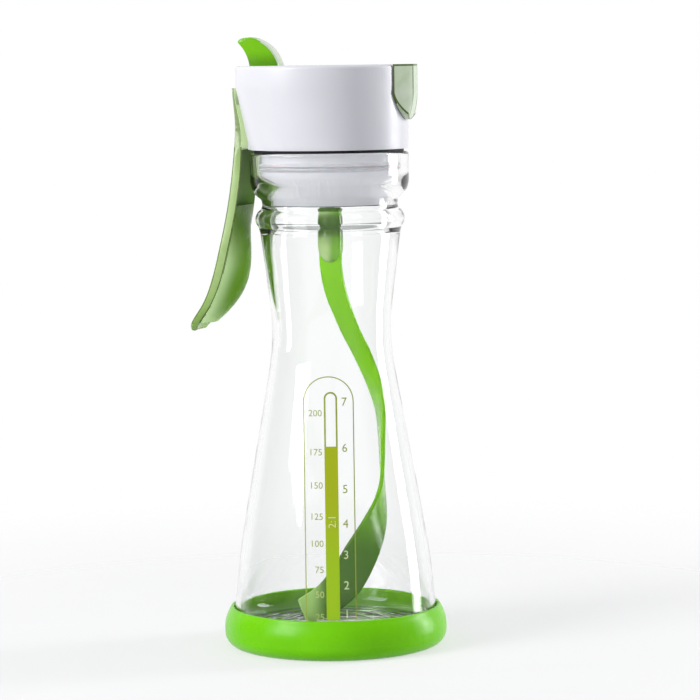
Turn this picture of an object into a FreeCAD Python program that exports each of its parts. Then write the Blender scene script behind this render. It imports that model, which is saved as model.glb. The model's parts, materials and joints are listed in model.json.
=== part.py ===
import FreeCAD
import Part
import Sketcher
import math
import os
import re
from fcgear import fcgear, involute

# A glass dressing bottle with a squeeze trigger that spins a spiral mixing blade,
# and a thumb lever that lifts the pour flap. Lengths are millimetres.
# The origin is the middle of the base, Z is up, X points toward the spout.

SIZES = {
    # soft boot around the foot
    "boot_radius": 39.0,
    "boot_height": 14.0,
    "boot_belly_height": 5.5,
    "boot_floor": 2.0,
    "boot_tread_inset": 4.5,
    "boot_lip": 1.2,
    "boot_swell": 2.1,
    "boot_gap": 0.1,
    # glass body, from the foot to the rim
    "heel_height": 8.0,
    "heel_round": 4.1,
    "punt_height": 2.2,
    "foot_ring": 2.2,
    "punt_flat": 12.0,
    "glass_floor": 3.6,
    "glass_wall": 1.8,
    "inner_heel": 4.2,
    "flare_inset": 4.3,
    "flare_height": 35.0,
    "flare_bulge": 0.5,
    "waist_low_inset": 2.7,
    "cone_height": 53.0,
    "waist_inset": 3.8,
    "waist_fall": 12.5,
    "waist_high_inset": 3.3,
    "waist_rise": 9.5,
    "chest_inset": 3.1,
    "chest_height": 26.2,
    "bead_bulge": 1.4,
    "bead_height": 7.0,
    "bead_top_inset": 0.4,
    "neck_inset": 1.0,
    "neck_height": 4.2,
    "collar_radius": 27.7,
    "collar_foot_inset": 2.8,
    "collar_turn": 0.75,
    "collar_rise": 6.4,
    "collar_height": 9.2,
    "collar_wall": 2.8,
    "rim_round": 1.2,
    "mouth_depth": 9.5,
    "throat_step": 4.3,
    "throat_swell": 0.5,
    "throat_fall": 6.2,
    # lid seat, plug and deck
    "seat_thickness": 1.0,
    "seat_inset": 1.7,
    "plug_gap": 1.2,
    "plug_depth": 18.5,
    "plug_wall": 1.8,
    "throat_gap": 0.9,
    "gasket_width": 3.0,
    "gasket_drop": 3.5,
    "gasket_depth": 1.3,
    "gasket_gap": 0.1,
    "deck_thickness": 2.0,
    "spigot_height": 3.0,
    "spigot_fit": 0.05,
    "boss_wall": 1.2,
    "pour_near": 10.0,
    "pour_width": 22.0,
    "bulkhead_place": 7.4,
    "bulkhead_thickness": 1.6,
    "bulkhead_side": 3.7,
    "bulkhead_clear": 5.0,
    "post_radius": 2.2,
    "front_post_x": 2.0,
    "front_post_y": 11.0,
    "rear_post_back": 1.4,
    "post_side": 0.8,
    "floor_lift": 0.3,
    "floor_plate": 1.8,
    "floor_boss_radius": 4.8,
    "floor_boss_height": 7.0,
    "floor_pour_gap": 3.2,
    "floor_pour_edge": 1.45,
    "vent_radius": 1.6,
    # cap
    "cap_height": 29.0,
    "cap_lean_height": 22.0,
    "cap_inset": 0.1,
    "cap_flare": 2.5,
    "cap_set_back": 2.2,
    "cap_wall": 2.2,
    "cap_round": 1.3,
    "notch_height": 17.0,
    "notch_width": 18.0,
    "notch_tip_width": 3.0,
    "slot_side": 0.4,
    "window_height": 18.0,
    "window_side": 0.6,
    # trigger
    "trigger_width": 24.0,
    "trigger_thickness": 3.0,
    "trigger_drop": 63.5,
    "trigger_reach": 17.8,
    "trigger_gap": 0.35,
    "trigger_stand_off": 2.9,
    "trigger_curve": 30.0,
    "trigger_top_inset": 7.6,
    "trigger_pin_inset": 2.1,
    "trigger_pin_rise": 3.0,
    "trigger_pin_radius": 1.2,
    "trigger_lug_width": 9.0,
    "trigger_lug_radius": 2.4,
    "trigger_cheek": 2.6,
    "trigger_cheek_back": 1.6,
    "trigger_arm_inset": 2.9,
    "cover_bulge": 6.1,
    "cover_inset": 0.8,
    "cover_edge": 0.2,
    "cover_drop": 19.5,
    "spring_pocket": 5.2,
    "spring_pocket_radius": 2.9,
    "pin_fit": 0.05,
    "press_fit": 0.01,
    # drive train
    "mesh_clearance": 0.12,
    "wheel_rise": 7.0,
    "wheel_thickness": 3.0,
    "pinion_height": 5.2,
    "blade_gear_overlap": 0.4,
    "axle_radius": 1.0,
    "idler_hub_radius": 2.0,
    "idler_float": 0.2,
    "rack_rise": 10.0,
    "rack_height": 3.0,
    "rack_back": 4.2,
    "rack_shift": 0.15,
    "rack_thinning": 0.16,
    "rack_block_length": 4.5,
    "rack_block_height": 4.4,
    "rack_block_width": 8.4,
    "rack_tongue": 1.6,
    "gear_cover_rise": 16.6,
    "gear_cover_thickness": 1.4,
    "gear_cover_front": 5.5,
    "gear_cover_back": 3.5,
    "gear_cover_side": 0.6,
    "screw_radius": 1.1,
    "screw_length": 8.0,
    "screw_head_radius": 2.2,
    "screw_head_height": 1.2,
    # shaft and blade
    "shaft_radius": 2.0,
    "shaft_top_radius": 1.2,
    "bushing_wall": 1.0,
    "bushing_flange": 0.5,
    "bushing_flange_width": 0.9,
    "deck_boss_height": 5.2,
    "clip_thickness": 0.6,
    "clip_float": 0.1,
    "clip_radius": 3.3,
    "clip_groove": 0.4,
    "seal_wire": 0.8,
    "hex_radius": 1.8,
    "hex_length": 9.5,
    "hub_radius": 4.4,
    "hub_drop": 1.8,
    "hub_step": 0.6,
    "hub_step_height": 1.8,
    "hub_length": 18.0,
    "blade_gap": 0.5,
    "blade_floor_gap": 2.4,
    "blade_thickness": 1.5,
    "blade_top_width": 8.2,
    "blade_width": 13.5,
    # lever
    "lever_pin_inset": 10.3,
    "lever_pin_drop": 7.0,
    "lever_pin_radius": 1.1,
    "lever_hub_radius": 3.2,
    "lever_hub_width": 10.0,
    "lever_cheek": 2.0,
    "lever_spring_pocket": 5.4,
    "lever_spring_radius": 2.8,
    "arm_width": 16.0,
    "arm_step": 0.3,
    "arm_thickness": 2.1,
    "arm_swing": 2.2,
    "fin_height": 10.0,
    "fin_width": 7.5,
    "fin_front_inset": 15.6,
    "fin_rear_inset": 4.8,
    "fin_tip_inset": 0.3,
    "slot_end_inset": 2.1,
    "beak_width": 24.5,
    "beak_reach": 3.3,
    "beak_nose_width": 5.8,
    "beak_height": 19.0,
    "beak_tip_width": 3.4,
    "beak_tip_depth": 0.9,
    "beak_gap": 0.35,
    "seal_gap": 0.35,
    "seal_depth": 3.0,
    "lever_spring_wire": 0.6,
    "trigger_spring_wire": 0.6,
    "spring_leg": 4.6,
    "lever_spring_tail": 7.3,
    # how far a cutting shape runs past what it cuts
    "overrun": 1.0,
}

WHEEL_TEETH = 40
PINION_TEETH = 10
RACK_TEETH = 6
PRESSURE_DEGREES = 25.0
SQUEEZE_DEGREES = 7.5
COIL_TURNS = 4.25
COIL_PITCH_SHARE = 1.15
# The gears' module as a share of the cap's inner radius, and the rack's tooth depths in modules.
MODULE_SHARE = 0.0197
RACK_TIP_SHARE = 0.8
RACK_ROOT_SHARE = 1.2
# Where the middle of a rounded corner lies between the corner and the ends of the round.
ROUND_SHARE = 0.293
HEEL_SHARES = (0.265, 0.44)
COLLAR_SHARE = 0.42
THROAT_SHARE = 0.6
TREAD_SHARES = (0.22, 0.36)
BOOT_SIDE_SHARES = (0.3, 0.6)
BOOT_SEAT_SHARES = (0.3, 0.4)
BOOT_EDGE_SHARE = 0.33
NOTCH_KNEE_SHARE = 0.35
GASKET_LIP_SHARES = (0.3, 0.5, 0.7)
SCREW_SLOT_SHARE = 0.25
CLIP_MOUTH_SHARE = 0.8
# How deep the hinge lug sinks into the trigger's strip below and above.
LUG_LOW_SHARE = 0.25
LUG_TOP_SHARE = 2.6
LUG_FRONT_SHARE = 0.3

# Places down the trigger's tail: share of the drop, of the reach and of the width.
TAIL_SHARES = (
    (0.0, 0.0, 0.79),
    (0.173, 0.05, 0.875),
    (0.36, 0.165, 0.93),
    (0.55, 0.325, 1.0),
    (0.74, 0.515, 1.0),
    (0.866, 0.72, 0.9),
    (0.955, 0.92, 0.7),
    (1.0, 1.0, 0.45),
)
# Thickness of the trigger's strip at its top, halfway and at the cap's foot.
STRIP_SHARES = (0.27, 0.48, 0.87)
STRIP_WIDTH_SHARES = (0.6, 0.7, 0.79)
# How much of its stand-off the strip has at its top and halfway.
STRIP_OFF_SHARES = (0.1, 0.35)
TIP_THICKNESS_SHARE = 0.5
COVER_BURY_SHARE = 0.4
COVER_LEAST_SHARE = 0.03
# How late down the cover its bulge peaks, and how much of a half wave it runs through.
COVER_SWELL_POWER = 1.2
COVER_SWELL_SHARE = 0.8
# Blade path from the hub to the floor: share of the fall, of the radius and of the width.
BLADE_SHARES = (
    (-0.04, 0.0, 0.0),
    (0.0, 0.0, 0.0),
    (0.06, 0.11, 0.03),
    (0.13, 0.31, 0.08),
    (0.20, 0.52, 0.12),
    (0.27, 0.76, 0.2),
    (0.345, 0.92, 0.3),
    (0.42, 1.0, 0.45),
    (0.50, 1.0, 0.6),
    (0.58, 1.0, 0.75),
    (0.65, 1.0, 0.9),
    (0.71, 1.0, 1.0),
    (0.77, 1.0, 1.0),
    (0.835, 1.0, 1.0),
    (0.905, 1.0, 0.85),
    (0.96, 1.0, 0.55),
    (1.0, 1.0, 0.2),
)
# Turn of the blade at the same places, in degrees from the side it swings to.
BLADE_TURNS = (-70, -68, -61, -52, -44, -36, -25, -13, -5, -1, 5, 18, 38, 58, 77, 100, 130)
# Which way the widest swing of the blade points, in degrees from X about Z.
BLADE_HEADING = 15.0
# How far its edge stands off the radius through its middle, and its end off the floor, in widths.
BLADE_SPREAD_SHARE = 0.36
BLADE_TAIL_SHARE = 0.25
# Thumb fin from the side: across from its front to its tip, and up.
FIN_ROUND_SHARES = (0.29, 0.72)
FIN_CREST_SHARE = 0.68
FIN_TIP_SHARES = (0.1, 0.97, 0.85)
FIN_HOLLOW_SHARES = (0.38, 0.5)
# Flap: its rear end and shoulder from above, its knee and rounded sides from the front,
# and from the side where its nose starts to draw in and the middle of that curve.
BEAK_REAR_SHARE = 0.5
BEAK_SHOULDER_SHARE = 0.1
BEAK_KNEE_SHARE = 0.4
BEAK_SIDE_SHARES = (0.78, 0.7)
BEAK_NOSE_SHARE = 0.45
# Width of the arm's front end inside the flap.
ARM_NOSE_SHARE = 0.78
BEAK_CURVE_SHARES = (0.68, 0.42)

os.makedirs("parts", exist_ok=True)
doc = FreeCAD.newDocument("dressing_bottle")
sheet = doc.addObject("Spreadsheet::Sheet", "Sizes")
for row, (alias, number) in enumerate(SIZES.items(), start=1):
    sheet.set(f"A{row}", alias)
    sheet.set(f"B{row}", str(number))
    sheet.setAlias(f"B{row}", alias)
doc.recompute()

WORD = re.compile(r"[a-z][a-z_]*[a-z]")
MATH_WORDS = ("sqrt", "sin", "cos", "tan", "max", "min")
NODES = {}


def bound(text):
    """The expression with every size read from the sheet."""
    def place(found):
        word = found.group(0)
        return word if word in MATH_WORDS else "Sizes." + word
    return WORD.sub(place, str(text))


def span(text):
    """The same expression as a length."""
    return f"({bound(text)}) * 1 mm"


def size(text):
    """The number that an expression of sizes comes to now."""
    scratch = doc.getObject("Scratch")
    scratch.setExpression("reading", bound(text))
    scratch.recompute()
    return scratch.reading


scratch_object = doc.addObject("App::FeaturePython", "Scratch")
scratch_object.addProperty("App::PropertyFloat", "reading")


def node(obj, name):
    """Marks an object as the sub-part that goes to the named file."""
    obj.Label = name
    NODES[name] = obj
    return obj


# Heights, each built up from the lengths below it.
HEEL_Z = "(boot_floor + heel_height)"
FLARE_Z = f"({HEEL_Z} + flare_height)"
WAIST_LOW_Z = f"({FLARE_Z} + cone_height)"
WAIST_Z = f"({WAIST_LOW_Z} + waist_fall)"
WAIST_HIGH_Z = f"({WAIST_Z} + waist_rise)"
BEAD_FOOT_Z = f"({WAIST_HIGH_Z} + chest_height)"
BEAD_TOP_Z = f"({BEAD_FOOT_Z} + bead_height)"
COLLAR_FOOT_Z = f"({BEAD_TOP_Z} + neck_height)"
COLLAR_Z = f"({COLLAR_FOOT_Z} + collar_rise)"
RIM_Z = f"({COLLAR_Z} + collar_height)"
FLOOR_Z = "(boot_floor + punt_height + glass_floor)"
CAP_BASE = f"({RIM_Z} + seat_thickness)"
CAP_LEAN_Z = f"({CAP_BASE} + cap_lean_height)"
CAP_TOP = f"({CAP_BASE} + cap_height)"
PLUG_BOTTOM = f"({RIM_Z} - plug_depth)"
TRIGGER_PIN_Z = f"({CAP_BASE} + trigger_pin_rise)"
LEVER_PIN_Z = f"({CAP_TOP} - lever_pin_drop)"
WHEEL_Z = f"({CAP_BASE} + wheel_rise)"
COVER_Z = f"({CAP_BASE} + gear_cover_rise)"
COVER_TOP = f"({COVER_Z} + gear_cover_thickness)"
HUB_TOP_Z = f"({PLUG_BOTTOM} - hub_drop)"
HUB_FOOT_Z = f"({HUB_TOP_Z} - hub_length)"
# Radii that follow from their neighbours.
FOOT_RADIUS = "(boot_radius - boot_swell - boot_lip - boot_gap)"
FLARE_RADIUS = f"({FOOT_RADIUS} - flare_inset)"
CHEST_RADIUS = "(collar_radius - chest_inset)"
WAIST_LOW_RADIUS = f"({CHEST_RADIUS} - waist_low_inset)"
WAIST_RADIUS = f"({CHEST_RADIUS} - waist_inset)"
WAIST_HIGH_RADIUS = f"({CHEST_RADIUS} - waist_high_inset)"
MOUTH_RADIUS = "(collar_radius - collar_wall)"
THROAT_RADIUS = f"({MOUTH_RADIUS} - throat_step)"
PLUG_RADIUS = f"({MOUTH_RADIUS} - plug_gap)"
PLUG_THROAT = f"({THROAT_RADIUS} - throat_gap)"
CAP_FOOT_RADIUS = "(collar_radius - cap_inset)"
CAP_INSIDE = f"({CAP_FOOT_RADIUS} - cap_wall)"
CAP_HEAD = f"({CAP_FOOT_RADIUS} + cap_flare)"
CAP_REAR = f"({CAP_HEAD} + cap_set_back)"
CAP_FRONT = f"({CAP_HEAD} - cap_set_back)"
SPIGOT_RADIUS = f"({CAP_INSIDE} - spigot_fit)"
MODULE = f"({CAP_INSIDE} * {MODULE_SHARE})"
IDLER_X = f"({MODULE} * {(WHEEL_TEETH + PINION_TEETH) / 2} + mesh_clearance)"
REAR_POST_X = f"({IDLER_X} + rear_post_back)"
REAR_POST_Y = f"sqrt(({CAP_INSIDE} - post_radius - post_side)^2 - {REAR_POST_X}^2)"
TRIGGER_PIN_X = f"({CAP_FOOT_RADIUS} - trigger_pin_inset)"
TRIGGER_ARM_X = f"({CAP_FOOT_RADIUS} - trigger_arm_inset)"
LEVER_PIN_X = f"({CAP_REAR} - lever_pin_inset)"
FIN_FRONT = f"({CAP_REAR} - fin_front_inset)"
FIN_REAR = f"({CAP_REAR} - fin_rear_inset)"
FIN_TIP = f"({CAP_REAR} - fin_tip_inset)"
BEAK_NOSE = f"({CAP_FRONT} + beak_reach)"
DECK_BORE = "(shaft_radius + pin_fit + bushing_wall)"


class Outline:
    """A closed sketch outline built point by point from expressions of sizes."""

    def __init__(self, sketch):
        self.sketch = sketch
        self.points = []
        self.edges = []

    def start(self, across, along):
        self.points.append((across, along))
        return self

    def line(self, across, along):
        self.edges.append(None)
        return self.start(across, along)

    def arc(self, by_across, by_along, across, along):
        self.edges.append((by_across, by_along))
        return self.start(across, along)

    def pin(self, item, place, across, along):
        for kind, text in (("DistanceX", across), ("DistanceY", along)):
            number = size(text)
            fix = Sketcher.Constraint(kind, -1, 1, item, place, number)
            index = self.sketch.addConstraint(fix)
            self.sketch.setExpression(f"Constraints[{index}]", bound(text))

    def close(self):
        corners = self.points
        if corners[-1] == corners[0]:
            corners = corners[:-1]
        else:
            self.edges.append(None)
        spots = [FreeCAD.Vector(size(a), size(b), 0) for a, b in corners]
        count = len(spots)
        for index in range(count):
            first = spots[index]
            last = spots[(index + 1) % count]
            by = self.edges[index]
            if by is None:
                item = self.sketch.addGeometry(Part.LineSegment(first, last), False)
                self.pin(item, 1, *corners[index])
                self.pin(item, 2, *corners[(index + 1) % count])
                continue
            self.add_arc(first, last, by, corners[index], corners[(index + 1) % count])
        return self.sketch

    def add_arc(self, first, last, by, first_text, last_text):
        middle = FreeCAD.Vector(size(by[0]), size(by[1]), 0)
        side = (middle - first).cross(last - first).z
        if side < 0:
            first, last = last, first
            first_text, last_text = last_text, first_text
        item = self.sketch.addGeometry(Part.Arc(first, middle, last), False)
        self.pin(item, 1, *first_text)
        self.pin(item, 2, *last_text)
        spot = self.sketch.addGeometry(Part.Point(middle), True)
        self.pin(spot, 1, *by)
        self.sketch.addConstraint(Sketcher.Constraint("PointOnObject", spot, 1, item))


def origin_part(body, role):
    return [item for item in body.Origin.OriginFeatures if item.Role == role][0]


def sketch_in(body, plane, offset="0"):
    """An empty sketch on one of the body's planes, set off along its normal."""
    sketch = body.newObject("Sketcher::SketchObject", "Sketch")
    sketch.AttachmentSupport = [(origin_part(body, plane), "")]
    sketch.MapMode = "FlatFace"
    sketch.setExpression("AttachmentOffset.Base.z", span(offset))
    return sketch


def turned(name, draw):
    """A body turned about Z from an outline in the XZ plane."""
    body = doc.addObject("PartDesign::Body", name)
    draw(Outline(sketch_in(body, "XZ_Plane")))
    turn = body.newObject("PartDesign::Revolution", "Turn")
    turn.Profile = body.Group[0]
    turn.ReferenceAxis = (origin_part(body, "Z_Axis"), [""])
    turn.Angle = 360
    doc.recompute()
    return body


def padded(name, plane, draw, length, offset="0", centred=False):
    """A body padded from an outline on one of the three planes."""
    body = doc.addObject("PartDesign::Body", name)
    draw(Outline(sketch_in(body, plane, offset)))
    pad = body.newObject("PartDesign::Pad", "Pad")
    pad.Profile = body.Group[0]
    pad.setExpression("Length", span(length))
    if centred:
        pad.SideType = "Symmetric"
    doc.recompute()
    return body


def placed(obj, across, aside, up):
    for axis, text in (("x", across), ("y", aside), ("z", up)):
        obj.setExpression(f"Placement.Base.{axis}", span(text))


def cylinder(name, radius, height, across="0", aside="0", up="0", along="z"):
    obj = doc.addObject("Part::Cylinder", name)
    obj.setExpression("Radius", span(radius))
    obj.setExpression("Height", span(height))
    if along == "y":
        turn = FreeCAD.Rotation(FreeCAD.Vector(1, 0, 0), -90)
        obj.Placement = FreeCAD.Placement(FreeCAD.Vector(), turn)
    placed(obj, across, aside, up)
    return obj


def cross_pin(name, radius, length, across, up):
    """A cylinder lying along Y, centred on the middle plane."""
    return cylinder(name, radius, length, across, f"-({length}) / 2", up, "y")


def block(name, low, high):
    """A box between two corners, each written as three expressions."""
    obj = doc.addObject("Part::Box", name)
    for side, one, two in zip(("Length", "Width", "Height"), low, high):
        obj.setExpression(side, span(f"({two}) - ({one})"))
    placed(obj, *low)
    return obj


def joined(name, parts):
    obj = doc.addObject("Part::MultiFuse", name)
    obj.Shapes = parts
    obj.Refine = True
    doc.recompute()
    return obj


def cut(name, base, tools):
    tool = tools[0] if len(tools) == 1 else joined(name + "_tools", tools)
    obj = doc.addObject("Part::Cut", name)
    obj.Base = base
    obj.Tool = tool
    doc.recompute()
    return obj


def shared(name, one, two):
    obj = doc.addObject("Part::Common", name)
    obj.Base = one
    obj.Tool = two
    doc.recompute()
    return obj


def plain(name, shape):
    """A feature holding a shape worked out from the sheet's sizes."""
    obj = doc.addObject("Part::Feature", name)
    obj.Shape = shape
    return obj


def glass_bottle():
    """Clear glass body: punt, heel, flare, waist, bead, neck groove, collar and mouth."""
    def draw(line):
        bead_z = f"({BEAD_FOOT_Z} + bead_height / 2)"
        neck_z = f"({BEAD_TOP_Z} + neck_height / 2)"
        bead_top = f"({CHEST_RADIUS} - bead_top_inset)"
        rest = f"({FOOT_RADIUS} - heel_round)"
        low_in = f"({FOOT_RADIUS} - glass_wall)"
        flare_mid = f"(({FOOT_RADIUS} + {FLARE_RADIUS}) / 2 + flare_bulge)"
        flare_mid_z = f"({HEEL_Z} + flare_height / 2)"
        collar_foot = "(collar_radius - collar_foot_inset)"
        line.start("0", "boot_floor + punt_height")
        line.line("punt_flat", "boot_floor + punt_height")
        line.line(f"{rest} - foot_ring", "boot_floor")
        line.line(rest, "boot_floor")
        line.arc(f"{FOOT_RADIUS} - heel_round * {HEEL_SHARES[0]}",
                 f"boot_floor + heel_height * {HEEL_SHARES[1]}",
                 FOOT_RADIUS, HEEL_Z)
        line.arc(flare_mid, flare_mid_z, FLARE_RADIUS, FLARE_Z)
        line.line(WAIST_LOW_RADIUS, WAIST_LOW_Z)
        line.arc(WAIST_RADIUS, WAIST_Z, WAIST_HIGH_RADIUS, WAIST_HIGH_Z)
        line.line(CHEST_RADIUS, BEAD_FOOT_Z)
        line.arc(f"{CHEST_RADIUS} + bead_bulge", bead_z, bead_top, BEAD_TOP_Z)
        line.arc(f"{CHEST_RADIUS} - neck_inset", neck_z, collar_foot, COLLAR_FOOT_Z)
        line.arc("collar_radius - collar_turn", f"{COLLAR_FOOT_Z} + collar_rise * {COLLAR_SHARE}",
                 "collar_radius", COLLAR_Z)
        line.line("collar_radius", f"{RIM_Z} - rim_round")
        line.arc(f"collar_radius - rim_round * {ROUND_SHARE}", f"{RIM_Z} - rim_round * {ROUND_SHARE}",
                 "collar_radius - rim_round", RIM_Z)
        line.line(f"{MOUTH_RADIUS} + rim_round / 2", RIM_Z)
        line.line(MOUTH_RADIUS, f"{RIM_Z} - rim_round / 2")
        line.line(MOUTH_RADIUS, f"{RIM_Z} - mouth_depth")
        line.line(THROAT_RADIUS, COLLAR_FOOT_Z)
        line.line(THROAT_RADIUS, BEAD_TOP_Z)
        chest_in = f"({THROAT_RADIUS} + throat_swell)"
        chest_low = f"({BEAD_FOOT_Z} - throat_fall)"
        line.arc(chest_in, f"{chest_low} + (bead_height + throat_fall) * {THROAT_SHARE}",
                 chest_in, chest_low)
        line.line(f"{WAIST_HIGH_RADIUS} - glass_wall", WAIST_HIGH_Z)
        line.arc(f"{WAIST_RADIUS} - glass_wall", WAIST_Z,
                 f"{WAIST_LOW_RADIUS} - glass_wall", WAIST_LOW_Z)
        line.line(f"{FLARE_RADIUS} - glass_wall", FLARE_Z)
        line.arc(f"{flare_mid} - glass_wall", flare_mid_z,
                 low_in, f"{FLOOR_Z} + inner_heel")
        line.arc(f"{low_in} - inner_heel * {ROUND_SHARE}", f"{FLOOR_Z} + inner_heel * {ROUND_SHARE}",
                 f"{low_in} - inner_heel", FLOOR_Z)
        line.line("0", FLOOR_Z)
        line.close()
    node(turned("GlassBottle", draw), "glass_bottle")


def base_boot():
    """Soft cup around the foot, with a flat closed floor."""
    def draw(line):
        inside = f"({FOOT_RADIUS} + boot_gap)"
        top = f"({inside} + boot_lip)"
        tread = "(boot_radius - boot_tread_inset)"
        line.start("0", "0")
        line.line(tread, "0")
        line.arc(f"boot_radius - boot_tread_inset * {TREAD_SHARES[0]}",
                 f"boot_belly_height * {TREAD_SHARES[1]}",
                 "boot_radius", "boot_belly_height")
        line.arc(f"boot_radius - (boot_radius - {top}) * {BOOT_SIDE_SHARES[0]}",
                 f"boot_belly_height + (boot_height - boot_belly_height) * {BOOT_SIDE_SHARES[1]}",
                 top, f"boot_height - boot_lip * {BOOT_EDGE_SHARE}")
        line.line(f"{top} - boot_lip * {BOOT_EDGE_SHARE}", "boot_height")
        line.line(inside, "boot_height")
        line.line(inside, HEEL_Z)
        line.line(inside, f"boot_floor + heel_height * {BOOT_SEAT_SHARES[1]}")
        line.line(f"{inside} - heel_round * {BOOT_SEAT_SHARES[0]}", "boot_floor")
        line.line("0", "boot_floor")
        line.close()
    node(turned("BaseBoot", draw), "base_boot")


def circle_at(name, radius, across, up):
    obj = doc.addObject("Part::Circle", name)
    obj.setExpression("Radius", span(radius))
    placed(obj, across, "0", up)
    return obj


def cap_form(name, grow, low, top):
    """The leaning cap's outside, grown or shrunk, from its foot to a given height."""
    head = f"({CAP_HEAD} + {grow})"
    foot = f"({CAP_FOOT_RADIUS} + {grow})"
    rings = [circle_at(name + "_foot", foot, "0", low)]
    rings.append(circle_at(name + "_lean", head, "-cap_set_back", CAP_LEAN_Z))
    rings.append(circle_at(name + "_head", head, "-cap_set_back", top))
    loft = doc.addObject("Part::Loft", name)
    loft.Sections = rings
    loft.Solid = True
    loft.Ruled = True
    doc.recompute()
    return loft


def cap_rear(rise):
    """How far the cap's rear face stands from the axis at a height above its foot."""
    foot = size(CAP_FOOT_RADIUS)
    lean = size(CAP_REAR) - foot
    share = min(1.0, rise / size("cap_lean_height"))
    return foot + lean * share


def rounded_top(name, base, radius, height):
    """Rounds the outermost edge of a form at the given height."""
    picks = []
    for number, edge in enumerate(base.Shape.Edges, start=1):
        box = edge.BoundBox
        if abs(box.ZMin - height) < 1e-6 and abs(box.ZMax - height) < 1e-6:
            picks.append((number, radius, radius))
    obj = doc.addObject("Part::Fillet", name)
    obj.Base = base
    obj.Edges = picks
    doc.recompute()
    return obj


def notch_outline(grow):
    """The pour notch seen from the front: a flat-bottomed V, open at the top."""
    def draw(line):
        wide = f"(notch_width / 2 + {grow})"
        tip = f"(notch_tip_width / 2 + {grow})"
        low = f"({CAP_TOP} - notch_height - {grow})"
        line.start(f"-{tip}", low)
        line.line(tip, low)
        line.line(wide, f"{CAP_TOP} - notch_height * {NOTCH_KNEE_SHARE}")
        line.line(wide, f"{CAP_TOP} + overrun")
        line.line(f"-{wide}", f"{CAP_TOP} + overrun")
        line.line(f"-{wide}", f"{CAP_TOP} - notch_height * {NOTCH_KNEE_SHARE}")
        line.close()
    return draw


def cheek_pair(name, low, high, inner, thick):
    """Two plates facing each other across the middle plane."""
    near = block(name + "_near", (low[0], f"-({inner}) - ({thick})", low[1]),
                 (high[0], f"-({inner})", high[1]))
    far = block(name + "_far", (low[0], inner, low[1]),
                (high[0], f"({inner}) + ({thick})", high[1]))
    return [near, far]


def lid_cap():
    """Leaning white cap with the lever slot, pour notch, trigger window and hinge cheeks."""
    solid = cap_form("CapOutside", "0", CAP_BASE, CAP_TOP)
    solid = rounded_top("CapRounded", solid, size("cap_round"), size(CAP_TOP))
    hollow = cap_form("CapInside", "(0 - cap_wall)", f"{CAP_BASE}", f"{CAP_TOP} - cap_wall")
    shell = cut("CapShell", solid, [hollow])
    lug_half = "(trigger_lug_width / 2 + window_side)"
    hub_half = "(lever_hub_width / 2 + slot_side)"
    pin_x = f"(0 - {TRIGGER_PIN_X})"
    lever_x = f"(0 - {LEVER_PIN_X})"
    cheeks = cheek_pair("TriggerCheek", (f"{pin_x} - trigger_cheek_back", CAP_BASE),
                        (f"{pin_x} + trigger_lug_radius",
                         f"{TRIGGER_PIN_Z} + trigger_lug_radius"),
                        lug_half, "trigger_cheek")
    hangers = cheek_pair("LeverCheek", (f"{lever_x} - lever_hub_radius",
                                        f"{LEVER_PIN_Z} - lever_hub_radius"),
                         (f"{lever_x} + lever_hub_radius", f"{CAP_TOP} - cap_wall / 2"),
                         hub_half, "lever_cheek")
    whole = joined("CapWhole", [shell] + cheeks + hangers)
    arm_half = "(arm_width / 2 + slot_side)"
    split_x = f"({lever_x} + lever_hub_radius + slot_side)"
    tools = [
        block("LeverSlot", (split_x, f"-{arm_half}", f"{CAP_TOP} - cap_wall - overrun"),
              (CAP_HEAD, arm_half, f"{CAP_TOP} + overrun")),
        block("FinSlot", (f"slot_end_inset - {CAP_REAR}", f"-{hub_half}",
                          f"{CAP_TOP} - cap_wall - overrun"),
              (f"{split_x} + overrun", hub_half, f"{CAP_TOP} + overrun")),
        padded("PourNotch", "YZ_Plane", notch_outline("0"), CAP_HEAD, "pour_near"),
        block("TriggerWindow", (f"0 - {CAP_REAR} - overrun",
                                f"-{lug_half}", f"{CAP_BASE} - overrun"),
              (f"{pin_x} + trigger_lug_radius", lug_half, f"{CAP_BASE} + window_height")),
        cross_pin("TriggerPinHole", "trigger_pin_radius + press_fit",
                  "trigger_lug_width + 4 * trigger_cheek", pin_x, TRIGGER_PIN_Z),
        cross_pin("LeverPinHole", "lever_pin_radius + press_fit",
                  "lever_hub_width + 4 * lever_cheek", lever_x, LEVER_PIN_Z),
    ]
    node(cut("LidCap", whole, tools), "lid_cap")


def post_places():
    return (("front_post_x", "front_post_y"), ("front_post_x", "-front_post_y"),
            (f"-{REAR_POST_X}", REAR_POST_Y), (f"-{REAR_POST_X}", f"-{REAR_POST_Y}"))


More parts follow.
